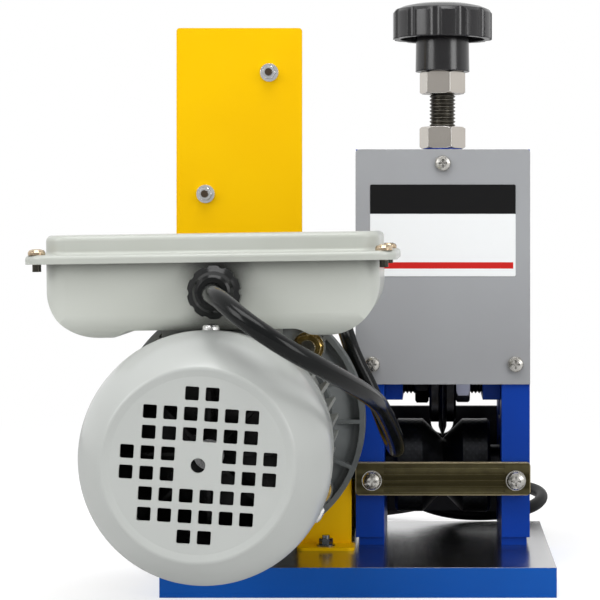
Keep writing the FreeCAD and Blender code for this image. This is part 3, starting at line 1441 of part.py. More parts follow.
# Cables: straight runs joined by tangent arcs through points chosen by hand
def cable_path(points):
    edges = []
    spots = [Vector(*point) for point in points]
    last = spots[0]
    radii = []
    for before, corner, after in zip(spots, spots[1:], spots[2:]):
        arriving = corner.sub(before)
        leaving = after.sub(corner)
        half_turn = arriving.getAngle(leaving) / 2
        reach = 0.45 * min(arriving.Length, leaving.Length)
        radii.append(reach / math.tan(half_turn))
        way_in = Vector(arriving).normalize()
        way_out = Vector(leaving).normalize()
        start = corner.sub(Vector(way_in).multiply(reach))
        finish = corner.add(Vector(way_out).multiply(reach))
        inward = Vector(way_out).sub(way_in).normalize()
        sagitta = reach * math.tan(half_turn / 2)
        middle_of_chord = start.add(finish).multiply(0.5)
        bulge = corner.sub(middle_of_chord).normalize()
        rise = radii[-1] * (1 - math.cos(half_turn))
        middle = middle_of_chord.add(bulge.multiply(rise))
        edges.append(Part.LineSegment(last, start).toShape())
        edges.append(Part.Arc(start, middle, finish).toShape())
        last = finish
    edges.append(Part.LineSegment(last, spots[-1]).toShape())
    return Part.Wire(edges), radii


def cable(name, points, diameter):
    wire, radii = cable_path(points)
    start = Vector(*points[0])
    heading = Vector(*points[1]).sub(start)
    ring = Part.Wire(Part.makeCircle(diameter / 2, start, heading))
    tube = wire.makePipeShell([ring], True, False)
    section = math.pi * diameter ** 2 / 4
    print(name, "length", round(wire.Length), "tightest radius", round(min(radii), 1),
          "volume against section times length", round(tube.Volume / (section * wire.Length), 4))
    save(name, tube)
    return wire.Length


def arc_from(start, heading, finish):
    # The arc that leaves a point along a heading and ends at another, with its end heading.
    chord = finish.sub(start)
    across = chord.sub(Vector(heading).multiply(chord.dot(heading))).normalize()
    radius = chord.dot(chord) / (2 * chord.dot(across))
    centre = start.add(Vector(across).multiply(radius))
    swept = 2 * heading.getAngle(chord)
    def on_arc(angle):
        out = Vector(across).multiply(-radius * math.cos(angle))
        along = Vector(heading).multiply(radius * math.sin(angle))
        return centre.add(out).add(along)
    turned_heading = Vector(heading).multiply(math.cos(swept)).add(
        Vector(across).multiply(math.sin(swept)))
    return Part.Arc(start, on_arc(swept / 2), finish).toShape(), turned_heading.normalize()


def coil_nodes():
    # A spiral in, a climb of one layer, and a spiral out, at every quarter of the climb's
    # half turn and every half turn elsewhere, as (radius, quarter turns, height).
    step = coil_step
    rise = mains_diameter + coil_layer_gap
    low = coil_low
    nodes = [(coil_widest - step * half / 2, 2 * half, low) for half in range(coil_layer_half_turns + 1)]
    narrowest = coil_widest - step * coil_layer_half_turns / 2
    climb = 2 * coil_layer_half_turns
    nodes.append((narrowest, climb + 1, low + rise / 2))
    nodes.append((narrowest, climb + 2, low + rise))
    for half in range(1, coil_last_half_turns + 1):
        nodes.append((narrowest + step * half / 2, climb + 2 + 2 * half, low + rise))
    return nodes


def build_coil():
    points = []
    for radius, quarters, height in coil_nodes():
        angle = math.pi / 2 * (1 + quarters)
        points.append(Vector(coil_x + radius * math.cos(angle), coil_y + radius * math.sin(angle), height))
    heading = Vector(-1, 0, 0)
    first = points[0].sub(Vector(heading).multiply(coil_lead_in))
    edges = [Part.LineSegment(first, points[0]).toShape()]
    for start, finish in zip(points, points[1:]):
        edge, heading = arc_from(start, heading, finish)
        edges.append(edge)
    last = points[-1].add(Vector(heading).multiply(coil_tail))
    edges.append(Part.LineSegment(points[-1], last).toShape())
    wire = Part.Wire(edges)
    ring = Part.Wire(Part.makeCircle(mains_diameter / 2, first, Vector(-1, 0, 0)))
    coil = wire.makePipeShell([ring], True, False)
    section = math.pi * mains_diameter ** 2 / 4
    print("mains_coil length", round(wire.Length), "least gap to itself",
          round(least_gap(edges, mains_diameter), 2),
          "volume against section times length", round(coil.Volume / (section * wire.Length), 4))
    save("mains_coil", coil)
    build_plug(last, heading)


def least_gap(edges, diameter):
    # Distance between points of the line that lie more than a few diameters apart along it.
    spots = []
    travelled = 0.0
    for edge in edges:
        count = max(2, int(edge.Length / 3))
        for step, spot in enumerate(edge.discretize(count)[:-1]):
            spots.append((travelled + edge.Length * step / (count - 1), spot))
        travelled += edge.Length
    least = min(a.distanceToPoint(b) for at, a in spots for other, b in spots
                if other - at > 6 * diameter)
    return least - diameter


def build_plug(entry, heading):
    way = (heading.x, heading.y, heading.z)
    cord_radius = mains_diameter / 2
    body_end = plug_relief_length + plug_body_length
    grip = plug_relief_length + plug_body_length * 0.3
    shell = turned([(0, 0), (plug_relief_radius, 0), (plug_relief_radius + 1.5, plug_relief_length * 0.8),
                    (plug_radius - 3.0, plug_relief_length), (plug_radius - 1.5, grip),
                    (plug_radius, grip + 4), (plug_radius, body_end - 1), (plug_radius - 1, body_end),
                    (0, body_end)])
    for groove in range(plug_grooves):
        low = plug_relief_length * (0.2 + 0.22 * groove)
        shell = shell.cut(tube_z(plug_relief_radius + 3, cord_radius + 1.2, low,
                                 low + plug_groove_width, 0, 0))
    placed = [aim(shell, way, entry)]
    for side in (-1, 1):
        centre = side * plug_blade_spacing / 2
        blade = box(-plug_blade_width / 2, plug_blade_width / 2, centre - plug_blade_thickness / 2,
                    centre + plug_blade_thickness / 2, body_end, body_end + plug_blade_length)
        placed.append(aim(blade, way, entry))
    pin = rod_z(plug_pin_radius, body_end, body_end + plug_blade_length + 2, plug_pin_drop, 0)
    placed.append(aim(pin, way, entry))
    save("mains_plug", *placed)


motor_cable_points = [
    (-74.6, -254.0, 196.8), (-74.6, -269.5, 196.8), (-67.7, -294.6, 196.0), (-51.7, -311.3, 184.1),
    (-29.9, -312.6, 169.5), (-6.8, -294.0, 155.4), (15.3, -247.3, 137.8), (18.9, -189.3, 123.7),
    (24.2, -129.2, 103.6), (24.4, -79.6, 89.1), (18.4, -51.9, 96.8), (11.7, -37.7, 112.4),
    (4.9, -33.1, 128.9), (-5.6, -35.6, 149.0), (-12.2, -27.2, 168.3), (-18.1, -8.8, 179.2),
    (-25.9, 11.6, 177.4), (-43.0, 24.0, 176.4), (-61.1, 29.8, 185.2), (-72.2, 32.5, 202.8),
    (-72.2, 32.5, 223.7)]
mains_lead_points = [
    (-100.2, 32.5, 223.7), (-100.2, 32.5, 201.8), (-99.1, 41.6, 181.1), (-98.3, 59.6, 164.9),
    (-94.9, 91.9, 153.1), (-86.7, 110.3, 127.4), (-68.0, 112.2, 100.2), (-34.0, 107.6, 76.1),
    (2.0, 104.5, 54.2), (32.0, 101.8, 33.1), (59.9, 99.5, 24.6), (93.2, 99.7, 23.8),
    (119.7, 115.4, 26.1), (131.3, 143.6, 31.2), (123.4, 173.4, 33.9), (101.4, 196.2, 33.5),
    (55.9, 212.1, 19.6), (15.0, 236.0, 8.0), (-20.0, coil_entry[1], coil_low), coil_entry]


def build_cables():
    cable("motor_cable", motor_cable_points, motor_cable_diameter)
    cable("mains_lead", mains_lead_points, mains_diameter)


build_base()
build_frame_bolts()
build_head()
build_bars()
build_roller()
build_blade()
build_yoke()
build_screw()
build_gearbox()
build_adapter()
build_motor()
build_cowl()
build_terminal_box()
build_glands()
build_switch()
build_guard()
build_bearings()
build_cables()
build_coil()
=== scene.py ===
import bpy
import bmesh
import math
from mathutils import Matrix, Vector


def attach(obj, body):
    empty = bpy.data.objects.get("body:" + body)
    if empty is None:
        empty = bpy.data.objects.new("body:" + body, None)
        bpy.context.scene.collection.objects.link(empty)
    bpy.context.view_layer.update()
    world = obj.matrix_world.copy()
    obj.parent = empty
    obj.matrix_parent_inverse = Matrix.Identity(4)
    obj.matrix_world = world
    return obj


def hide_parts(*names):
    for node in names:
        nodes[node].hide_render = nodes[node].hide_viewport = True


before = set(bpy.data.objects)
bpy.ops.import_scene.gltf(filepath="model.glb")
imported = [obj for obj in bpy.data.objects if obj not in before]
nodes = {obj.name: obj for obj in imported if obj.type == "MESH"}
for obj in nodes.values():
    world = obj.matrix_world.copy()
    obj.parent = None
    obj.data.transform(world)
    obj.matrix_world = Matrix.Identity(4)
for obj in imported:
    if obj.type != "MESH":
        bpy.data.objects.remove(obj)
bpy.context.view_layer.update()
scene = bpy.context.scene
print("stage: frame loaded")


# Camera: its place and lens were found from the photograph's edges
camera = {
    "place": (0.0463, -1.3575, 0.2325), "lens": 120.0, "sensor": 36.0, "shift": (-0.2195, -0.1198),
    "farEnd": 50.0,
}
cameraData = bpy.data.cameras.new("camera")
cameraData.lens = camera["lens"]
cameraData.sensor_width = camera["sensor"]
cameraData.shift_x, cameraData.shift_y = camera["shift"]
cameraData.clip_end = camera["farEnd"]
cameraObject = bpy.data.objects.new("camera", cameraData)
cameraObject.location = camera["place"]
cameraObject.rotation_euler = (math.radians(90), 0, 0)  # level, looking along +Y
scene.collection.objects.link(cameraObject)
scene.camera = cameraObject


# Colours are written as sRGB hex values and turned to linear ones here
def linearColour(text):
    channels = [int(text[start:start + 2], 16) / 255 for start in (1, 3, 5)]
    linear = [c / 12.92 if c <= 0.04045 else ((c + 0.055) / 1.055) ** 2.4 for c in channels]
    return (*linear, 1.0)


# Sizes of patterns are written in millimetres
def perMetre(millimetres):
    return 1000.0 / millimetres


def inMetres(millimetres):
    return millimetres / 1000.0


def feedNode(node, inputs):
    # A socket is linked to its input, anything else becomes the input's value.
    for name, value in inputs.items():
        if isinstance(value, bpy.types.NodeSocket):
            node.id_data.links.new(value, node.inputs[name])
        else:
            node.inputs[name].default_value = value


def addNode(tree, kind, inputs=None, output=0, **settings):
    # Adds a node with its settings and links, and gives back one of its outputs.
    node = tree.nodes.new("ShaderNode" + kind)
    for name, value in settings.items():
        setattr(node, name, value)
    feedNode(node, inputs or {})
    return node.outputs[output] if len(node.outputs) else None


def newMaterial(name):
    material = bpy.data.materials.new(name)
    material.use_nodes = True
    tree = material.node_tree
    tree.nodes.clear()
    shader = addNode(tree, "BsdfPrincipled")
    addNode(tree, "OutputMaterial", {"Surface": shader})
    coordinates = addNode(tree, "TexCoord", output="Object")
    return material, tree, shader.node, coordinates


colourMix = {"output": 2, "data_type": "RGBA"}  # its factor is socket 0, its two colours are 6 and 7
cloudSpan = {"From Min": 0.35, "From Max": 0.65}  # where most values of the noise lie
grainSpan = {"From Min": 0.3, "From Max": 0.7}
wearSpan = {"From Min": 0.48, "From Max": 0.62}  # narrow, so that patches of wear have a clear rim
edgeSpan = {"From Min": 0.995, "From Max": 0.90}  # cosines between the rounded and the flat normal
recessSpan = {"From Min": 0.3, "From Max": 0.75}  # share of the sky that is free
maskSamples = 6


def cloudyTone(tree, coordinates, user, detail):
    # The shade and the colour meet in soft patches of the cloud's size.
    cloud = addNode(tree, "TexNoise", {"Vector": coordinates, "Scale": perMetre(user["cloud"]),
                                       "Detail": detail})
    share = addNode(tree, "MapRange", {"Value": cloud, **cloudSpan})
    shade = linearColour(user["shade"])
    return addNode(tree, "Mix", {0: share, 6: shade, 7: linearColour(user["colour"])}, **colourMix)


def edgeMask(tree, millimetres):
    # Near one where a sharp edge lies within the distance, zero on open faces.
    rounded = addNode(tree, "Bevel", {"Radius": inMetres(millimetres)}, samples=maskSamples)
    flat = addNode(tree, "NewGeometry", output="Normal")
    facing = addNode(tree, "VectorMath", {0: rounded, 1: flat}, "Value", operation="DOT_PRODUCT")
    return addNode(tree, "MapRange", {"Value": facing, **edgeSpan})


def recessMask(tree, millimetres):
    # Near one deep in a recess or where two pieces meet, zero on open faces; it places painted shade.
    reach = inMetres(millimetres)
    free = addNode(tree, "AmbientOcclusion", {"Distance": reach}, "AO", samples=maskSamples)
    return addNode(tree, "MapRange", {"Value": free, **recessSpan, "To Min": 1.0, "To Max": 0.0})


def beyondPlanes(tree, coordinates, *planes):
    # One where the piece lies beyond every plane: each is an axis, a side and a place in metres.
    sides = {">": "GREATER_THAN", "<": "LESS_THAN"}
    parts = addNode(tree, "SeparateXYZ", {0: coordinates}).node.outputs
    masks = [addNode(tree, "Math", {0: parts[axis], 1: place}, operation=sides[side])
             for axis, side, place in planes]
    mask = masks[0]
    for other in masks[1:]:
        mask = addNode(tree, "Math", {0: mask, 1: other}, operation="MULTIPLY")
    return mask


def roundedRelief(tree, height, depth, edge):
    # Fine relief on faces whose edges look rounded; depth and edge in millimetres.
    rounded = addNode(tree, "Bevel", {"Radius": inMetres(edge)}, samples=maskSamples)
    return addNode(tree, "Bump", {"Height": height, "Distance": inMetres(depth), "Normal": rounded})


# Materials, one maker for each kind of real surface
def paintedSteel(name, user):
    # Sprayed enamel: a nearly even coat with a faint orange peel, rubbed thin in patches along edges.
    material, tree, surface, coordinates = newMaterial(name)
    colour = cloudyTone(tree, coordinates, user, 2.0)
    patches = addNode(tree, "TexNoise", {"Vector": coordinates, "Scale": perMetre(user["wearSize"]),
                                         "Detail": 4.0})
    thin = addNode(tree, "MapRange", {"Value": patches, **wearSpan, "To Max": user["wear"]})
    wear = addNode(tree, "Math", {0: edgeMask(tree, user["edge"]), 1: thin}, operation="MULTIPLY")
    colour = addNode(tree, "Mix", {0: wear, 6: colour, 7: linearColour(user["worn"])}, **colourMix)
    # Painted shade: darker deep in recesses and where pieces meet
    if "recess" in user:
        shadedRecess = recessMask(tree, user["recessReach"])
        colour = addNode(tree, "Mix", {0: shadedRecess, 6: colour, 7: linearColour(user["recess"])}, **colourMix)
    gloss = addNode(tree, "TexNoise", {"Vector": coordinates, "Scale": perMetre(user["glossSize"]),
                                       "Detail": 3.0})
    roughness = addNode(tree, "MapRange", {"Value": gloss, **grainSpan,
                                           "To Min": user["roughness"] - user["glossier"],
                                           "To Max": user["roughness"] + user["duller"]})
    peel = addNode(tree, "TexNoise", {"Vector": coordinates, "Scale": perMetre(user["peelSize"]),
                                      "Detail": 2.0})
    feedNode(surface, {"Base Color": colour, "Roughness": roughness,
                       "Normal": roundedRelief(tree, peel, user["peelDepth"], user["edge"]),
                       "Coat Weight": user["coat"], "Coat Roughness": user["coatRoughness"],
                       "Specular IOR Level": user["specular"]})
    return material


def metalSurface(name, user):
    # Bare or plated metal: mirrors the room through a fine grain, with grime and painted shade in
    # corners, and bright edges that are worn metal and, on the warm zinc nuts, painted highlight.
    material, tree, surface, coordinates = newMaterial(name)
    colour = cloudyTone(tree, coordinates, user, 4.0)
    # Painted shade and dirt: darker deep in recesses and where pieces meet
    if "grimeAndShade" in user:
        shadedRecess = recessMask(tree, user["grimeAndShadeReach"])
        colour = addNode(tree, "Mix", {0: shadedRecess, 6: colour, 7: linearColour(user["grimeAndShade"])}, **colourMix)
    # Bright edges: worn metal, and on the warm zinc nuts also painted highlight
    if "edgeColour" in user:
        edges = edgeMask(tree, user["edge"])
        wornAndHighlitEdges = addNode(tree, "Math", {0: edges, 1: user["wear"]}, operation="MULTIPLY")
        edgeTone = linearColour(user["edgeColour"])
        colour = addNode(tree, "Mix", {0: wornAndHighlitEdges, 6: colour, 7: edgeTone}, **colourMix)
    along = addNode(tree, "Mapping", {"Vector": coordinates, "Scale": user.get("stretch", (1, 1, 1))})
    grain = addNode(tree, "TexNoise", {"Vector": along, "Scale": perMetre(user["grain"]), "Detail": 3.0})
    roughness = addNode(tree, "MapRange", {"Value": grain, "From Min": 0.25, "From Max": 0.75,
                                           "To Min": user["roughness"] - user["spread"],
                                           "To Max": user["roughness"] + user["spread"]})
    feedNode(surface, {"Base Color": colour, "Metallic": 1.0, "Roughness": roughness,
                       "Normal": roundedRelief(tree, grain, user["grainDepth"], user["edge"])})
    return material


def mouldedPlastic(name, user):
    # Plastic or rubber from a mould: one even tone, with the mould's fine texture and soft edges.
    material, tree, surface, coordinates = newMaterial(name)
    grain = addNode(tree, "TexNoise", {"Vector": coordinates, "Scale": perMetre(user["grain"]),
                                       "Detail": 3.0})
    roughness = addNode(tree, "MapRange", {"Value": grain, **grainSpan,
                                           "To Min": user["roughness"] - user["glossier"],
                                           "To Max": user["roughness"] + user["duller"]})
    feedNode(surface, {"Base Color": cloudyTone(tree, coordinates, user, 3.0), "Roughness": roughness,
                       "Normal": roundedRelief(tree, grain, user["grainDepth"], user["edge"]),
                       "Specular IOR Level": user["specular"]})
    return material


def useOn(material, *names):
    for name in names:
        mesh = nodes[name].data
        mesh.materials.clear()
        mesh.materials.append(material)


# Base plate: ground steel on top, whose fine lines smear what it mirrors, and blue enamel on its
# edges and underside, chipped to grey metal at the corners. The lines are drawn wider than real ones
basePlate = {
    "colour": "#bbbbbc", "shade": "#aeaeaf", "cloud": 60.0, "topHeight": 0.0189, "roughness": 0.21,
    "grainSize": 0.5, "stretch": (0.02, 1, 1), "grainDepth": 0.03, "paint": "#0759b8",
    "paintShade": "#0654ae", "paintCloud": 50.0, "paintRoughness": 0.32, "chip": "#8b8d90",
    "chipSize": 4.0, "chipFrom": 0.55, "chipFull": 0.60, "chipEdge": 0.8, "edge": 0.6,
    "glossier": 0.03, "duller": 0.05, "specular": 0.22,
}


def basePlateMaterial(user):
    material, tree, surface, coordinates = newMaterial("ground_steel_and_blue_enamel")
    top = beyondPlanes(tree, coordinates, ("Z", ">", user["topHeight"]))
    along = addNode(tree, "Mapping", {"Vector": coordinates, "Scale": user["stretch"]})
    lines = addNode(tree, "TexNoise", {"Vector": along, "Scale": perMetre(user["grainSize"]),
                                       "Detail": 2.0})
    steel = cloudyTone(tree, coordinates, user, 4.0)
    clouds = addNode(tree, "TexNoise", {"Vector": coordinates, "Scale": perMetre(user["paintCloud"]),
                                        "Detail": 3.0})
    paint = addNode(tree, "Mix", {0: clouds, 6: linearColour(user["paintShade"]),
                                  7: linearColour(user["paint"])}, **colourMix)
    patches = addNode(tree, "TexNoise", {"Vector": coordinates, "Scale": perMetre(user["chipSize"]),
                                         "Detail": 5.0})
    bare = addNode(tree, "MapRange", {"Value": patches, "From Min": user["chipFrom"],
                                      "From Max": user["chipFull"]})
    chips = addNode(tree, "Math", {0: edgeMask(tree, user["chipEdge"]), 1: bare}, operation="MULTIPLY")
    paint = addNode(tree, "Mix", {0: chips, 6: paint, 7: linearColour(user["chip"])}, **colourMix)
    steelRoughness = addNode(tree, "MapRange", {"Value": lines, **grainSpan,
                                                "To Min": user["roughness"] - user["glossier"],
                                                "To Max": user["roughness"] + user["duller"]})
    roughness = addNode(tree, "MapRange", {"Value": top, "To Min": user["paintRoughness"],
                                           "To Max": steelRoughness})
    height = addNode(tree, "Math", {0: lines, 1: top}, operation="MULTIPLY")
    feedNode(surface, {"Base Color": addNode(tree, "Mix", {0: top, 6: paint, 7: steel}, **colourMix),
                       "Metallic": top, "Roughness": roughness,
                       "Normal": roundedRelief(tree, height, user["grainDepth"], user["edge"]),
                       "Specular IOR Level": user["specular"]})
    return material


useOn(basePlateMaterial(basePlate), "base_plate")

# Blue enamel on sheet steel: deep and half matt, so that it mirrors little. Side plates, side
# covers and yoke
sprayedPaint = {"wearSize": 3.0, "glossSize": 12.0, "glossier": 0.04, "duller": 0.05}
bluePaint = dict(sprayedPaint, colour="#0a3ea6", shade="#093a9b", worn="#5d6878", wear=0.35, edge=0.5,
                 cloud=60.0, coat=0.05, coatRoughness=0.2, roughness=0.4, peelSize=1.6, peelDepth=0.02,
                 specular=0.1)
useOn(paintedSteel("sprayed_blue_enamel", bluePaint), "left_side_plate", "right_side_plate",
      "side_covers")
# The yoke's copy of the blue enamel is painted lighter: painted light on its legs
yokePaint = dict(bluePaint, colour="#1145b0", shade="#0f3d9e", roughness=0.42)
useOn(paintedSteel("sprayed_yoke_enamel_painted_lighter", yokePaint), "blade_yoke")

# Grey enamel on sheet steel: satin, with edges worn pale. The head's two covers
greyPaint = dict(sprayedPaint, colour="#a0a2a5", shade="#9a9b9e", worn="#d2d3d4", wear=0.8, edge=0.4,
                 cloud=90.0, coat=0.1, coatRoughness=0.25, roughness=0.36, peelSize=0.9,
                 peelDepth=0.012, specular=0.3)
useOn(paintedSteel("sprayed_grey_enamel", greyPaint), "rear_cover", "front_cover")

# Light enamel on pressed steel: a clear glossy coat, so that its rims catch bright lines. Fan cowl,
# terminal box and lid; the box's copy is painted lighter, and carries painted shade under the lid's rim
lightEnamel = dict(sprayedPaint, colour="#b8bbb8", shade="#b3b6b3", worn="#9c9d98", wear=0.2, edge=0.5,
                   cloud=70.0, coat=0.35, coatRoughness=0.1, roughness=0.36, peelSize=1.8,
                   peelDepth=0.012, specular=0.4)
useOn(paintedSteel("glossy_light_enamel", lightEnamel), "fan_cowl")
lidEnamel = dict(lightEnamel, colour="#b9bcb5", shade="#b3b6ae")
useOn(paintedSteel("glossy_lid_enamel", lidEnamel), "terminal_lid")
# The box's enamel is a lighter copy, as painted light, with painted shade deep under the lid's rim
boxEnamel = dict(lightEnamel, colour="#c8cbc4", shade="#c2c5bd", recess="#3c3d38", recessReach=15.0)
useOn(paintedSteel("glossy_box_enamel_painted_light_and_shade", boxEnamel), "terminal_box")

# Yellow enamel on sheet steel: full and even, with hardly a highlight. Switch panel and shaft guard
yellowPaint = dict(sprayedPaint, colour="#f3c100", shade="#f0bc00", worn="#b99a3a", wear=0.35, edge=0.4,
                   cloud=80.0, coat=0.0, coatRoughness=0.15, roughness=0.34, peelSize=1.4,
                   peelDepth=0.02, specular=0.1)
useOn(paintedSteel("sprayed_yellow_enamel", yellowPaint), "switch_panel", "shaft_guard")

# Painted sand castings: the sand's grain shows through a dull coat. Dark on the flange, adapter and
# gearbox, lighter on the motor's frame
darkCasting = dict(sprayedPaint, colour="#6c7070", shade="#5f6363", worn="#a2a5a4", wear=0.7, edge=0.8,
                   cloud=20.0, coat=0.0, coatRoughness=0.35, roughness=0.5, peelSize=1.1,
                   peelDepth=0.09, specular=0.3)
useOn(paintedSteel("dark_painted_casting", darkCasting), "flange_shield", "motor_adapter",
      "gearbox_housing", "gearbox_side_covers")
paleCasting = dict(darkCasting, colour="#9a9c98", shade="#8e908c", worn="#b4b5b2")
useOn(paintedSteel("pale_painted_casting", paleCasting), "motor_frame", "rear_shield")

# Zinc plating on screws and nuts: bright and slightly cloudy, with dark dirt and painted shade in the
# recesses
brightZinc = {
    "colour": "#cfcdc8", "shade": "#b5b2ab", "edgeColour": "#e6e4df", "wear": 0.4, "edge": 0.15,
    "cloud": 5.0, "grain": 0.5, "grainDepth": 0.004, "roughness": 0.26, "spread": 0.06,
    "grimeAndShade": "#2e2a24", "grimeAndShadeReach": 1.6,
}
useOn(metalSurface("bright_zinc_plating", brightZinc), "cover_screws", "bar_screws")
# Clear zinc on the cowl's screws, its colour raised nearly to white as painted reflection of the light
# that the cowl throws back
cowlScrew = dict(brightZinc, colour="#f0f0ee", shade="#dededb", grimeAndShadeReach=0.8)
useOn(metalSurface("zinc_with_painted_reflection", cowlScrew), "cowl_screws")
# Older, warmer zinc on the knob's nut: even flats between bright edge lines, partly rubbed zinc and
# partly painted highlight
warmZinc = dict(brightZinc, colour="#c8c2ba", shade="#c2bcb4", edgeColour="#fbf9f5", wear=1.0,
                edge=0.4, roughness=0.24, spread=0.02, cloud=40.0, grainDepth=0.0004)
useOn(metalSurface("warm_zinc_with_painted_highlight", warmZinc), "knob_nut")


def addTone(material, mask, tone, metallic=1.0):
    # Another tone where the mask is one, as on a washer or a thread's end in the same node.
    tree = material.node_tree
    surface = tree.nodes["Principled BSDF"]
    metalTone = surface.inputs["Base Color"].links[0].from_socket
    colour = addNode(tree, "Mix", {0: mask, 6: metalTone, 7: linearColour(tone)}, **colourMix)
    feedNode(surface, {"Base Color": colour})
    if metallic < 1.0:
        part = addNode(tree, "MapRange", {"Value": mask, "To Min": 1.0, "To Max": metallic})
        feedNode(surface, {"Metallic": part})


def splitMetal(name, user, *planes):
    # A metal with the dictionary's tone beyond the planes.
    material = metalSurface(name, user)
    tree = material.node_tree
    coordinates = tree.nodes["Texture Coordinate"].outputs["Object"]
    addTone(material, beyondPlanes(tree, coordinates, *planes), user["tone"], user.get("toneMetal", 1.0))
    return material


# The lock nut lies on a washer in the side plates' blue enamel
lockNut = dict(warmZinc, washerTop=0.28805, tone="#11308a", toneMetal=0.0)
useOn(splitMetal("zinc_nut_and_blue_washer", lockNut, ("Z", "<", lockNut["washerTop"])), "lock_nut")

# Yellow zinc plating: golden and glossy, with a plain grey thread end
flangeBolt = dict(brightZinc, colour="#bd9f5c", shade="#8f7743", edgeColour="#f0e3bd", wear=0.8,
                  roughness=0.14, spread=0.03, tone="#8b877d", endY=-0.0777)
useOn(splitMetal("yellow_zinc_bolts", flangeBolt, ("Y", "<", flangeBolt["endY"])), "flange_bolts")
lidScrew = dict(flangeBolt, colour="#d6c2a6", shade="#b39d82", roughness=0.2, tone="#4a4841",
                endZ=0.2132, middleX=-0.0767, tilt=0.01396)


def lidScrewMaterial(user):
    # The dark ends stand out below the rim, which leans with the lid.
    material = metalSurface("yellow_zinc_screws", user)
    tree = material.node_tree
    coordinates = tree.nodes["Texture Coordinate"].outputs["Object"]
    parts = addNode(tree, "SeparateXYZ", {0: coordinates}).node.outputs
    across = addNode(tree, "Math", {0: parts["X"], 1: user["middleX"]}, operation="SUBTRACT")
    lean = addNode(tree, "Math", {0: across, 1: user["tilt"]}, operation="MULTIPLY")
    level = addNode(tree, "Math", {0: parts["Z"], 1: lean}, operation="SUBTRACT")
    ends = addNode(tree, "Math", {0: level, 1: user["endZ"]}, operation="LESS_THAN")
    addTone(material, ends, user["tone"])
    return material


useOn(lidScrewMaterial(lidScrew), "lid_screws")

# Zinc studs and nuts on the yellow panel, with rusty stud ends on its near side, and duller ones at
# the guard's foot
panelFixing = dict(brightZinc, colour="#f0f1f2", shade="#dfe1e3", edgeColour="#fbfbfb", roughness=0.2,
                   grainDepth=0.001, grimeAndShadeReach=0.9, guardTop=0.05, tone="#6c6f73", nutFace=0.00145,
                   studTone="#66594c")


def panelFixingMaterial(user):
    material = splitMetal("zinc_studs_and_nuts", user, ("Z", "<", user["guardTop"]))
    tree = material.node_tree
    coordinates = tree.nodes["Texture Coordinate"].outputs["Object"]
    studEnds = beyondPlanes(tree, coordinates, ("Y", "<", user["nutFace"]), ("Z", ">", user["guardTop"]))
    addTone(material, studEnds, user["studTone"])
    return material


useOn(panelFixingMaterial(panelFixing), "panel_and_guard_fixings")

# Brushed bronze on the tie bar: dark streaks along its length, partly brushing and partly painted shade
# of its ribs, with a painted highlight along its border.
# The streaks are drawn wider than real ones
tieBar = {
    "left": -0.0049, "right": 0.1125, "foot": 0.0535, "top": 0.0755, "border": 0.0009,
    "borderHighlight": "#b3a685", "ribSize": 4.5, "ribStretch": (0.02, 1, 1), "ribShadeTone": "#37321f",
    "ribStrength": 0.9, "colour": "#5e583e", "shade": "#514b36", "edge": 0.6, "cloud": 9.0,
    "grain": 0.6, "stretch": (0.08, 1, 1), "grainDepth": 0.012, "roughness": 0.42, "spread": 0.06,
}


def tieBarMaterial(user):
    material = metalSurface("brushed_bronze", user)
    tree = material.node_tree
    surface = tree.nodes["Principled BSDF"]
    coordinates = tree.nodes["Texture Coordinate"].outputs["Object"]
    parts = addNode(tree, "SeparateXYZ", {0: coordinates}).node.outputs
    border = 0.0
    for axis, low, high in (("X", user["left"], user["right"]), ("Z", user["foot"], user["top"])):
        middle = (low + high) / 2
        half = (high - low) / 2
        offset = addNode(tree, "Math", {0: parts[axis], 1: middle}, operation="SUBTRACT")
        away = addNode(tree, "Math", {0: offset, 1: 0.0}, operation="ABSOLUTE")
        near = addNode(tree, "MapRange", {"Value": away, "From Min": half - user["border"],
                                          "From Max": half})
        border = addNode(tree, "Math", {0: border, 1: near}, operation="MAXIMUM")
    # Painted shade of the ribs as dark streaks, then a painted highlight along the border
    along = addNode(tree, "Mapping", {"Vector": coordinates, "Scale": user["ribStretch"]})
    streaks = addNode(tree, "TexNoise", {"Vector": along, "Scale": perMetre(user["ribSize"]),
                                         "Detail": 0.0})
    ribShade = addNode(tree, "MapRange", {"Value": streaks, **cloudSpan, "To Max": user["ribStrength"]})
    bronze = surface.inputs["Base Color"].links[0].from_socket
    withRibShade = addNode(tree, "Mix", {0: ribShade, 6: bronze, 7: linearColour(user["ribShadeTone"])}, **colourMix)
    withBorderHighlight = addNode(tree, "Mix", {0: border, 6: withRibShade, 7: linearColour(user["borderHighlight"])}, **colourMix)
    feedNode(surface, {"Base Color": withBorderHighlight})
    return material


useOn(tieBarMaterial(tieBar), "tie_bar")

# Black oxide on steel: a thin blue-black skin, half matt, grey where edges are rubbed. Axle, hub,
# socket bolts, roller shaft and wire guide
blackOxide = {
    "colour": "#303033", "shade": "#222224", "edgeColour": "#6a6b6f", "wear": 0.35, "edge": 0.25,
    "cloud": 6.0, "grain": 0.5, "grainDepth": 0.008, "roughness": 0.36, "spread": 0.07,
}
useOn(metalSurface("black_oxide_steel", blackOxide), "blade_axle", "blade_hub", "frame_bolts",
      "roller_shaft")
# The wire guide's flat plate shows broader and fainter clouds
guideOxide = dict(blackOxide, colour="#2b2b2e", shade="#252528", cloud=30.0)
useOn(metalSurface("black_oxide_plate", guideOxide), "wire_guide")
# The two axle nuts share a node: the right one is lighter steel with a lavender tone, painted reflection
axleNut = dict(blackOxide, middleX=0.0538, tone="#9a9db0")
useOn(splitMetal("black_and_bare_nuts_painted_reflection", axleNut, ("X", ">", axleNut["middleX"])), "axle_nuts")
# The adjusting screw's rolled thread: grey steel browned by oil
oiledThread = dict(blackOxide, colour="#6d6a62", shade="#56534c", edgeColour="#a19c92", roughness=0.33)
useOn(metalSurface("oiled_thread", oiledThread), "adjusting_screw")

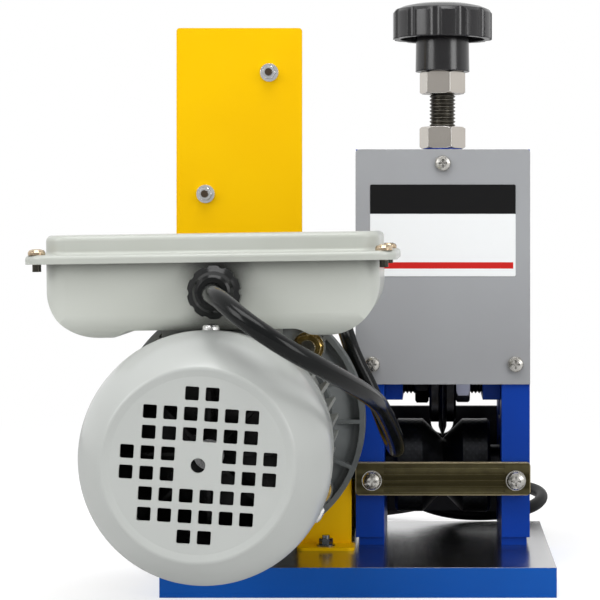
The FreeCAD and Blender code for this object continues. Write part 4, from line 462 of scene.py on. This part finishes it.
# Machined metals: light from the tool's fine lines, which stretch along Z. Steel on the shafts,
# bearings and block, dark ground tool steel on the disc, golden bronze on the worm wheel
machinedSteel = {
    "colour": "#c2c2c3", "shade": "#afafb0", "cloud": 12.0, "grain": 0.25, "stretch": (1, 1, 0.1),
    "grainDepth": 0.004, "roughness": 0.27, "spread": 0.07, "edge": 0.2,
}
useOn(metalSurface("turned_steel", machinedSteel), "wheel_hub", "rotor_core", "motor_shaft", "worm",
      "screw_retainer", "top_block", "ball_bearings", "blade_bearings")
toolSteel = dict(machinedSteel, colour="#303134", shade="#252629", roughness=0.3)
useOn(metalSurface("ground_tool_steel", toolSteel), "cutting_disc")
wheelBronze = dict(machinedSteel, colour="#b98f52", shade="#a67f46")
useOn(metalSurface("machined_bronze", wheelBronze), "worm_wheel")
# Drawn aluminium cans, pale and satin, and varnished copper windings, reddish and coarse
drawnAluminium = dict(machinedSteel, colour="#c6c7c8", shade="#b8b9ba", roughness=0.33)
useOn(metalSurface("drawn_aluminium", drawnAluminium), "capacitors")
copperWire = dict(machinedSteel, colour="#a25f34", shade="#8a4c28", grain=0.9, grainDepth=0.2)
useOn(metalSurface("enamelled_copper", copperWire), "stator")

# Phenolic, pressed in a polished mould: black with sharp white highlights. Star knob
mouldedFinish = {"cloud": 14.0, "glossier": 0.05, "duller": 0.07}
knobPlastic = dict(mouldedFinish, colour="#1b1a1c", shade="#161517", roughness=0.2, grain=0.45,
                   grainDepth=0.002, edge=1.2, specular=0.6)
useOn(mouldedPlastic("moulded_phenolic", knobPlastic), "star_knob")
# Nylon, injection moulded: black and smooth, but mirrors less. Cable glands and fan
glandPlastic = dict(mouldedFinish, colour="#141515", shade="#101111", roughness=0.17, grain=0.4,
                    grainDepth=0.003, edge=0.8, specular=0.25)
useOn(mouldedPlastic("moulded_nylon", glandPlastic), "cable_glands", "cooling_fan")
# ABS: spark-textured and matt on the switch box, smooth and coloured through on the buttons
boxPlastic = dict(glandPlastic, colour="#252628", shade="#1f2022", roughness=0.48, grain=0.6,
                  grainDepth=0.02)
useOn(mouldedPlastic("textured_abs", boxPlastic), "switch_box", "switch_box_lid")
startPlastic = dict(glandPlastic, colour="#1f8a46", shade="#1a7a3d", roughness=0.28, specular=0.4)
useOn(mouldedPlastic("moulded_green_abs", startPlastic), "start_button")
stopPlastic = dict(glandPlastic, colour="#b6201c", shade="#a31a17", roughness=0.28, specular=0.4)
useOn(mouldedPlastic("moulded_red_abs", stopPlastic), "stop_button")
# Sponge rubber, cut from sheet: dull and nearly black. Lid gasket
gasketRubber = dict(glandPlastic, colour="#27282a", shade="#1f2021", roughness=0.6)
useOn(mouldedPlastic("cut_sheet_rubber", gasketRubber), "lid_gasket")

# Feed roller: black oxide with a diamond knurl on the lands, which breaks the light into small
# points. The knurl is drawn coarser than a real one's 2 mm, so that it shows
feedRoller = {
    "colour": "#222326", "shade": "#18191b", "cloud": 8.0, "ridge": "#2c2d30", "ridgeShare": 0.55,
    "ridgeFrom": 0.35, "ridgeFull": 0.9, "axisY": 0.038, "axisZ": 0.0675, "landRadius": 0.0317,
    "starts": 72, "pitch": 0.0022, "depth": 0.12, "edge": 0.3, "roughness": 0.42, "glossier": 0.05,
    "duller": 0.08, "metallic": 0.9,
}


def feedRollerMaterial(user):
    material, tree, surface, coordinates = newMaterial("knurled_black_oxide")
    parts = addNode(tree, "SeparateXYZ", {0: coordinates}).node.outputs
    across = addNode(tree, "Math", {0: parts["Y"], 1: user["axisY"]}, operation="SUBTRACT")
    up = addNode(tree, "Math", {0: parts["Z"], 1: user["axisZ"]}, operation="SUBTRACT")
    angle = addNode(tree, "Math", {0: up, 1: across}, operation="ARCTAN2")
    startsPerTurn = user["starts"] / (2 * math.pi)
    turns = addNode(tree, "Math", {0: angle, 1: startsPerTurn}, operation="MULTIPLY")
    along = addNode(tree, "Math", {0: parts["X"], 1: user["pitch"]}, operation="DIVIDE")
    # Two families of spiral ridges cross and leave diamonds.
    ridges = []
    for way in ("ADD", "SUBTRACT"):
        spiral = addNode(tree, "Math", {0: turns, 1: along}, operation=way)
        ridges.append(addNode(tree, "Math", {0: spiral, 1: 1.0}, operation="PINGPONG"))
    diamonds = addNode(tree, "Math", {0: ridges[0], 1: ridges[1]}, operation="MULTIPLY")
    # The groove lies inside the lands' radius and stays plain.
    squares = [addNode(tree, "Math", {0: side, 1: side}, operation="MULTIPLY") for side in (across, up)]
    squareSum = addNode(tree, "Math", {0: squares[0], 1: squares[1]}, operation="ADD")
    radius = addNode(tree, "Math", {0: squareSum}, operation="SQRT")
    land = addNode(tree, "Math", {0: radius, 1: user["landRadius"]}, operation="GREATER_THAN")
    height = addNode(tree, "Math", {0: diamonds, 1: land}, operation="MULTIPLY")
    tops = addNode(tree, "MapRange", {"Value": height, "From Min": user["ridgeFrom"],
                                      "From Max": user["ridgeFull"], "To Max": user["ridgeShare"]})
    colour = addNode(tree, "Mix", {0: tops, 6: cloudyTone(tree, coordinates, user, 4.0),
                                   7: linearColour(user["ridge"])}, **colourMix)
    patches = addNode(tree, "TexNoise", {"Vector": coordinates, "Scale": perMetre(user["cloud"]),
                                         "Detail": 4.0})
    roughness = addNode(tree, "MapRange", {"Value": patches, **grainSpan,
                                           "To Min": user["roughness"] - user["glossier"],
                                           "To Max": user["roughness"] + user["duller"]})
    feedNode(surface, {"Base Color": colour, "Metallic": user["metallic"], "Roughness": roughness,
                       "Normal": roundedRelief(tree, height, user["depth"], user["edge"])})
    return material


useOn(feedRollerMaterial(feedRoller), "feed_roller")

# Label: printed polyester film, smooth and barely rippled, in plain areas of colour
coverLabel = {
    "film": "#eef0f1", "band": "#111112", "stripe": "#c8231f", "foot": 0.2001, "height": 0.0617,
    "left": 0.0049, "width": 0.0978, "margin": 0.0016, "bandShare": 0.32, "stripeShare": 0.07,
    "stripeRise": 2.2, "ripple": 30.0, "rippleDepth": 0.01, "edge": 0.2, "smoothest": 0.28,
    "roughest": 0.32, "specular": 0.2,
}


def coverLabelMaterial(user):
    material, tree, surface, coordinates = newMaterial("printed_polyester_film")
    bandFoot = user["foot"] + user["height"] * (1 - user["bandShare"])
    stripeHeight = user["stripeShare"] * user["height"]
    stripeTop = user["foot"] + user["stripeRise"] * stripeHeight
    stripeLeft = user["left"] + user["margin"]
    stripeRight = user["left"] + user["width"] - user["margin"]
    band = beyondPlanes(tree, coordinates, ("Z", ">", bandFoot))
    stripe = beyondPlanes(tree, coordinates, ("Z", ">", stripeTop - stripeHeight), ("Z", "<", stripeTop),
                          ("X", ">", stripeLeft), ("X", "<", stripeRight))
    colour = addNode(tree, "Mix", {0: band, 6: linearColour(user["film"]),
                                   7: linearColour(user["band"])}, **colourMix)
    colour = addNode(tree, "Mix", {0: stripe, 6: colour, 7: linearColour(user["stripe"])}, **colourMix)
    ripple = addNode(tree, "TexNoise", {"Vector": coordinates, "Scale": perMetre(user["ripple"]),
                                        "Detail": 2.0})
    roughness = addNode(tree, "MapRange", {"Value": ripple, **grainSpan, "To Min": user["smoothest"],
                                           "To Max": user["roughest"]})
    feedNode(surface, {"Base Color": colour, "Roughness": roughness,
                       "Normal": roundedRelief(tree, ripple, user["rippleDepth"], user["edge"]),
                       "Specular IOR Level": user["specular"]})
    return material


useOn(coverLabelMaterial(coverLabel), "cover_label")

# Mains plug: moulded rubber, dull black, with bright nickelled blades beyond its face
mainsPlug = {
    "rubber": "#202122", "rubberShade": "#1a1b1c", "cloud": 9.0, "grain": 0.5, "grainDepth": 0.01,
    "edge": 0.5, "smoothest": 0.42, "roughest": 0.52, "blade": "#c9c2ae", "bladeRoughness": 0.25,
    "faceX": -0.1619,
}


def mainsPlugMaterial(user):
    material, tree, surface, coordinates = newMaterial("moulded_rubber_and_nickel")
    blades = beyondPlanes(tree, coordinates, ("X", "<", user["faceX"]))
    grain = addNode(tree, "TexNoise", {"Vector": coordinates, "Scale": perMetre(user["grain"]),
                                       "Detail": 3.0})
    clouds = addNode(tree, "TexNoise", {"Vector": coordinates, "Scale": perMetre(user["cloud"]),
                                        "Detail": 3.0})
    body = addNode(tree, "Mix", {0: clouds, 6: linearColour(user["rubberShade"]),
                                 7: linearColour(user["rubber"])}, **colourMix)
    colour = addNode(tree, "Mix", {0: blades, 6: body, 7: linearColour(user["blade"])}, **colourMix)
    rubberRoughness = addNode(tree, "MapRange", {"Value": grain, **grainSpan,
                                                 "To Min": user["smoothest"],
                                                 "To Max": user["roughest"]})
    roughness = addNode(tree, "MapRange", {"Value": blades, "To Min": rubberRoughness,
                                           "To Max": user["bladeRoughness"]})
    feedNode(surface, {"Base Color": colour, "Metallic": blades, "Roughness": roughness,
                       "Normal": roundedRelief(tree, grain, user["grainDepth"], user["edge"])})
    return material


useOn(mainsPlugMaterial(mainsPlug), "mains_plug")
print("stage: materials on the carried-over nodes")

# Cords: extruded rubber. The motor cable is smooth and shows long highlights, the mains lead is
# duller. Their routes are the points in the part's source, in metres, as smooth splines
cordRubber = {
    "colour": "#0d0f0f", "shade": "#0a0c0c", "cloud": 14.0, "roughness": 0.18, "glossier": 0.05,
    "duller": 0.07, "grain": 0.7, "grainDepth": 0.002, "edge": 0.1, "specular": 0.22,
}
mainsRubber = dict(cordRubber, roughness=0.42, specular=0.12)
cordMaterial = mouldedPlastic("extruded_smooth_rubber", cordRubber)
mainsMaterial = mouldedPlastic("extruded_dull_rubber", mainsRubber)
cordShape = {"stepsAlong": 10, "stepsAround": 6}


def cordCurve(name, points, diameter, material):
    curve = bpy.data.curves.new(name, "CURVE")
    curve.dimensions = "3D"
    curve.resolution_u = cordShape["stepsAlong"]
    curve.bevel_depth = diameter / 2
    curve.bevel_resolution = cordShape["stepsAround"]
    curve.use_fill_caps = True
    spline = curve.splines.new("NURBS")
    spline.points.add(len(points) - 1)
    for spot, place in zip(spline.points, points):
        spot.co = (*place, 1.0)
    spline.order_u = 3
    spline.use_endpoint_u = True
    curve.materials.append(material)
    cord = bpy.data.objects.new(name, curve)
    scene.collection.objects.link(cord)
    return cord


def splineLength(cord):
    # The length of the cord's own line, read from its spline without the bevel.
    bare = cord.data.copy()
    bare.bevel_depth = 0.0
    probe = bpy.data.objects.new("probe", bare)
    scene.collection.objects.link(probe)
    bpy.context.view_layer.update()
    mesh = bpy.data.meshes.new_from_object(probe)
    spots = [vertex.co.copy() for vertex in mesh.vertices]
    bpy.data.objects.remove(probe)
    return sum((b - a).length for a, b in zip(spots, spots[1:]))


motorCable = {
    "diameter": 0.0105,
    "points": [
        (-0.0746, -0.2540, 0.1968), (-0.0746, -0.2695, 0.1968), (-0.0677, -0.2946, 0.1960),
        (-0.0517, -0.3113, 0.1841), (-0.0299, -0.3126, 0.1695), (-0.0068, -0.2940, 0.1554),
        (0.0153, -0.2473, 0.1378), (0.0189, -0.1893, 0.1237), (0.0242, -0.1292, 0.1036),
        (0.0244, -0.0796, 0.0891), (0.0184, -0.0519, 0.0968), (0.0117, -0.0377, 0.1124),
        (0.0049, -0.0331, 0.1289), (-0.0056, -0.0356, 0.1490), (-0.0122, -0.0272, 0.1683),
        (-0.0181, -0.0088, 0.1792), (-0.0259, 0.0116, 0.1774), (-0.0430, 0.0240, 0.1764),
        (-0.0611, 0.0298, 0.1852), (-0.0722, 0.0325, 0.2028), (-0.0722, 0.0325, 0.2237)],
}
motorCord = cordCurve("motor_cable_line", motorCable["points"], motorCable["diameter"], cordMaterial)
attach(motorCord, "frame")
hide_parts("motor_cable")
splineLength(motorCord)

mainsLead = {
    "diameter": 0.009,
    "points": [
        (-0.1002, 0.0325, 0.2237), (-0.1002, 0.0325, 0.2018), (-0.0991, 0.0416, 0.1811),
        (-0.0983, 0.0596, 0.1649), (-0.0949, 0.0919, 0.1531), (-0.0867, 0.1103, 0.1274),
        (-0.0680, 0.1122, 0.1002), (-0.0340, 0.1076, 0.0761), (0.0020, 0.1045, 0.0542),
        (0.0320, 0.1018, 0.0331), (0.0599, 0.0995, 0.0246), (0.0932, 0.0997, 0.0238),
        (0.1197, 0.1154, 0.0261), (0.1313, 0.1436, 0.0312), (0.1234, 0.1734, 0.0339),
        (0.1014, 0.1962, 0.0335), (0.0559, 0.2121, 0.0196), (0.0150, 0.2360, 0.0080),
        (-0.0200, 0.2518, 0.0046)],
    "coilCentre": (-0.062, 0.190), "widest": 0.0618, "step": 0.0118, "low": 0.0046, "rise": 0.0106,
    "inwardTurns": 2.0, "climbTurns": 0.5, "outwardTurns": 1.5, "perTurn": 12,
    "tail": [(-0.080, 0.2457, 0.0151), (-0.1020, 0.24514, 0.0151)],
}


def coilPoints(user):
    # Control points of the put-away coil: two turns in, a climb of one layer, and out again.
    total = user["inwardTurns"] + user["climbTurns"] + user["outwardTurns"]
    spots = []
    reach = math.cos(math.pi / user["perTurn"])
    for count in range(int(total * user["perTurn"])):
        turn = (count + 0.5) / user["perTurn"]
        inward = min(turn, user["inwardTurns"])
        climbed = min(max((turn - user["inwardTurns"]) / user["climbTurns"], 0.0), 1.0)
        outward = max(turn - user["inwardTurns"] - user["climbTurns"], 0.0)
        radius = (user["widest"] - user["step"] * inward + user["step"] * outward) / reach
        angle = math.pi / 2 + 2 * math.pi * turn
        spots.append((user["coilCentre"][0] + radius * math.cos(angle),
                      user["coilCentre"][1] + radius * math.sin(angle),
                      user["low"] + user["rise"] * climbed))
    return spots


mainsPoints = mainsLead["points"] + coilPoints(mainsLead) + mainsLead["tail"]
mainsCord = cordCurve("mains_lead_line", mainsPoints, mainsLead["diameter"], mainsMaterial)
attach(mainsCord, "frame")
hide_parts("mains_lead", "mains_coil")

# Strain relief where the mains lead leaves its gland: a tapered sleeve with ring grooves
reliefSleeve = {
    "top": (-0.1002, 0.0325, 0.2239), "length": 0.028, "topRadius": 0.0078, "tipRadius": 0.0054,
    "topRound": (0.93, 0.0012), "tipRound": (0.94, 0.0008), "bore": 0.0046, "grooves": 5,
    "firstGroove": 0.8, "grooveDepth": 0.0007, "grooveWall": 0.0006, "grooveWidth": 0.0024,
    "segments": 40,
}


def sleeveMesh(user):
    mesh = bpy.data.meshes.new("mains_strain_relief")
    form = bmesh.new()
    # Half of the section, as radius and depth below the gland, is spun round the lead.
    topShare, topEdge = user["topRound"]
    tipShare, tipEdge = user["tipRound"]
    wall, width = user["grooveWall"], user["grooveWidth"]
    profile = [(user["bore"], 0.0), (user["topRadius"] * topShare, 0.0), (user["topRadius"], topEdge)]
    ringStep = user["length"] / (user["grooves"] + 1)
    for ring in range(user["grooves"]):
        start = ringStep * (ring + user["firstGroove"])
        for offset, cut in ((0.0, 0.0), (wall, 1.0), (width - wall, 1.0), (width, 0.0)):
            share = (start + offset) / user["length"]
            radius = user["topRadius"] + (user["tipRadius"] - user["topRadius"]) * share
            profile.append((radius - cut * user["grooveDepth"], start + offset))
    profile += [(user["tipRadius"], user["length"] - tipEdge),
                (user["tipRadius"] * tipShare, user["length"]), (user["bore"], user["length"])]
    spots = [form.verts.new((radius, 0.0, -depth)) for radius, depth in profile]
    edges = [form.edges.new(pair) for pair in zip(spots, spots[1:])]
    bmesh.ops.spin(form, geom=spots + edges, cent=(0, 0, 0), axis=(0, 0, 1), angle=2 * math.pi,
                   steps=user["segments"], use_merge=True)
    bmesh.ops.translate(form, verts=form.verts, vec=user["top"])
    bmesh.ops.recalc_face_normals(form, faces=form.faces)
    form.to_mesh(mesh)
    form.free()
    for face in mesh.polygons:
        face.use_smooth = True
    return mesh


sleeve = bpy.data.objects.new("mains_strain_relief", sleeveMesh(reliefSleeve))
sleeve.data.materials.append(mainsMaterial)
scene.collection.objects.link(sleeve)
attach(sleeve, "frame")
splineLength(mainsCord)
print("stage: cords", round(splineLength(motorCord), 3), round(splineLength(mainsCord), 3))

# Studio: a matt paper floor that fades to white with distance, and a white room. The object gets
# less light from the room than the camera sees, and its mirrors see half of it on the camera's side
studio = {
    "floorSize": 8.0, "floorTone": 0.7, "floorRoughness": 0.9, "floorLift": 0.5, "fadeStart": 0.45,
    "fadeEnd": 1.1, "skyForObject": 0.42, "roomLevel": 0.5, "roomEdge": -0.45, "backdropEdge": 0.1,
    "white": (1, 1, 1, 1),
}


def floorMaterial(user):
    material, tree, surface, coordinates = newMaterial("matt_paper_floor")
    feedNode(surface, {"Base Color": (*[user["floorTone"]] * 3, 1.0),
                       "Roughness": user["floorRoughness"], "Specular IOR Level": 0.0})
    flat = addNode(tree, "Mapping", {"Vector": coordinates, "Scale": (1, 1, 0)})
    distance = addNode(tree, "VectorMath", {0: flat}, "Value", operation="LENGTH")
    far = addNode(tree, "MapRange", {"Value": distance, "From Min": user["fadeStart"],
                                     "From Max": user["fadeEnd"]})
    seen = addNode(tree, "LightPath", output="Is Camera Ray")
    lift = addNode(tree, "Math", {0: seen, 1: user["floorLift"]}, operation="MULTIPLY")
    glow = addNode(tree, "Emission", {"Color": user["white"], "Strength": lift})
    lifted = addNode(tree, "AddShader", {0: surface.outputs[0], 1: glow})
    backdrop = addNode(tree, "Emission", {"Color": user["white"], "Strength": 1.0})
    share = addNode(tree, "Math", {0: far, 1: seen}, operation="MULTIPLY")
    blended = addNode(tree, "MixShader", {0: share, 1: lifted, 2: backdrop})
    feedNode(tree.nodes["Material Output"], {"Surface": blended})
    return material


def floorPiece(user):
    mesh = bpy.data.meshes.new("studio_floor")
    form = bmesh.new()
    bmesh.ops.create_grid(form, x_segments=2, y_segments=2, size=user["floorSize"] / 2)
    form.to_mesh(mesh)
    form.free()
    mesh.materials.append(floorMaterial(user))
    piece = bpy.data.objects.new("studio_floor", mesh)
    scene.collection.objects.link(piece)


floorPiece(studio)


def buildWorld(user):
    world = bpy.data.worlds.new("studio_world")
    scene.world = world
    world.use_nodes = True
    tree = world.node_tree
    tree.nodes.clear()
    rays = addNode(tree, "LightPath").node.outputs
    seen = addNode(tree, "Math", {0: rays["Is Camera Ray"], 1: rays["Is Glossy Ray"]},
                   operation="MAXIMUM")
    shown = addNode(tree, "Math", {0: seen, 1: rays["Is Transmission Ray"]}, operation="MAXIMUM")
    direction = addNode(tree, "TexCoord", output="Generated")
    towards = addNode(tree, "SeparateXYZ", {0: direction}, "Y")
    room = addNode(tree, "MapRange", {"Value": towards, "From Min": user["roomEdge"],
                                      "From Max": user["backdropEdge"], "To Min": user["roomLevel"]})
    reflected = addNode(tree, "Math", {0: rays["Is Camera Ray"], 1: room}, operation="MAXIMUM")
    level = addNode(tree, "Mix", {0: shown, 2: user["skyForObject"], 3: reflected})
    sky = addNode(tree, "Background", {"Color": user["white"], "Strength": level})
    addNode(tree, "OutputWorld", {"Surface": sky})


buildWorld(studio)


def softLamp(name, user):
    light = bpy.data.lights.new(name, "AREA")
    light.shape = "RECTANGLE"
    light.size, light.size_y = user["size"]
    light.energy = user["watts"]
    lamp = bpy.data.objects.new(name, light)
    lamp.location = user["place"]
    aim = Vector(user["target"]) - Vector(user["place"])
    lamp.rotation_euler = aim.to_track_quat("-Z", "Y").to_euler()
    scene.collection.objects.link(lamp)


# Two tall softboxes left and right of the camera and a broad one above
topLamp = {"size": (1.6, 1.1), "watts": 27.0, "place": (0.0, -0.9, 2.2), "target": (0, -0.05, 0.1)}
leftLamp = {"size": (1.0, 1.3), "watts": 18.0, "place": (-1.65, -1.35, 1.15), "target": (0, 0, 0.15)}
rightLamp = {"size": (1.0, 1.3), "watts": 18.0, "place": (1.75, -1.45, 0.95), "target": (0, 0, 0.15)}
softLamp("top_softbox", topLamp)
softLamp("left_softbox", leftLamp)
softLamp("right_softbox", rightLamp)
scene.view_settings.view_transform = "Standard"
print("stage: studio")
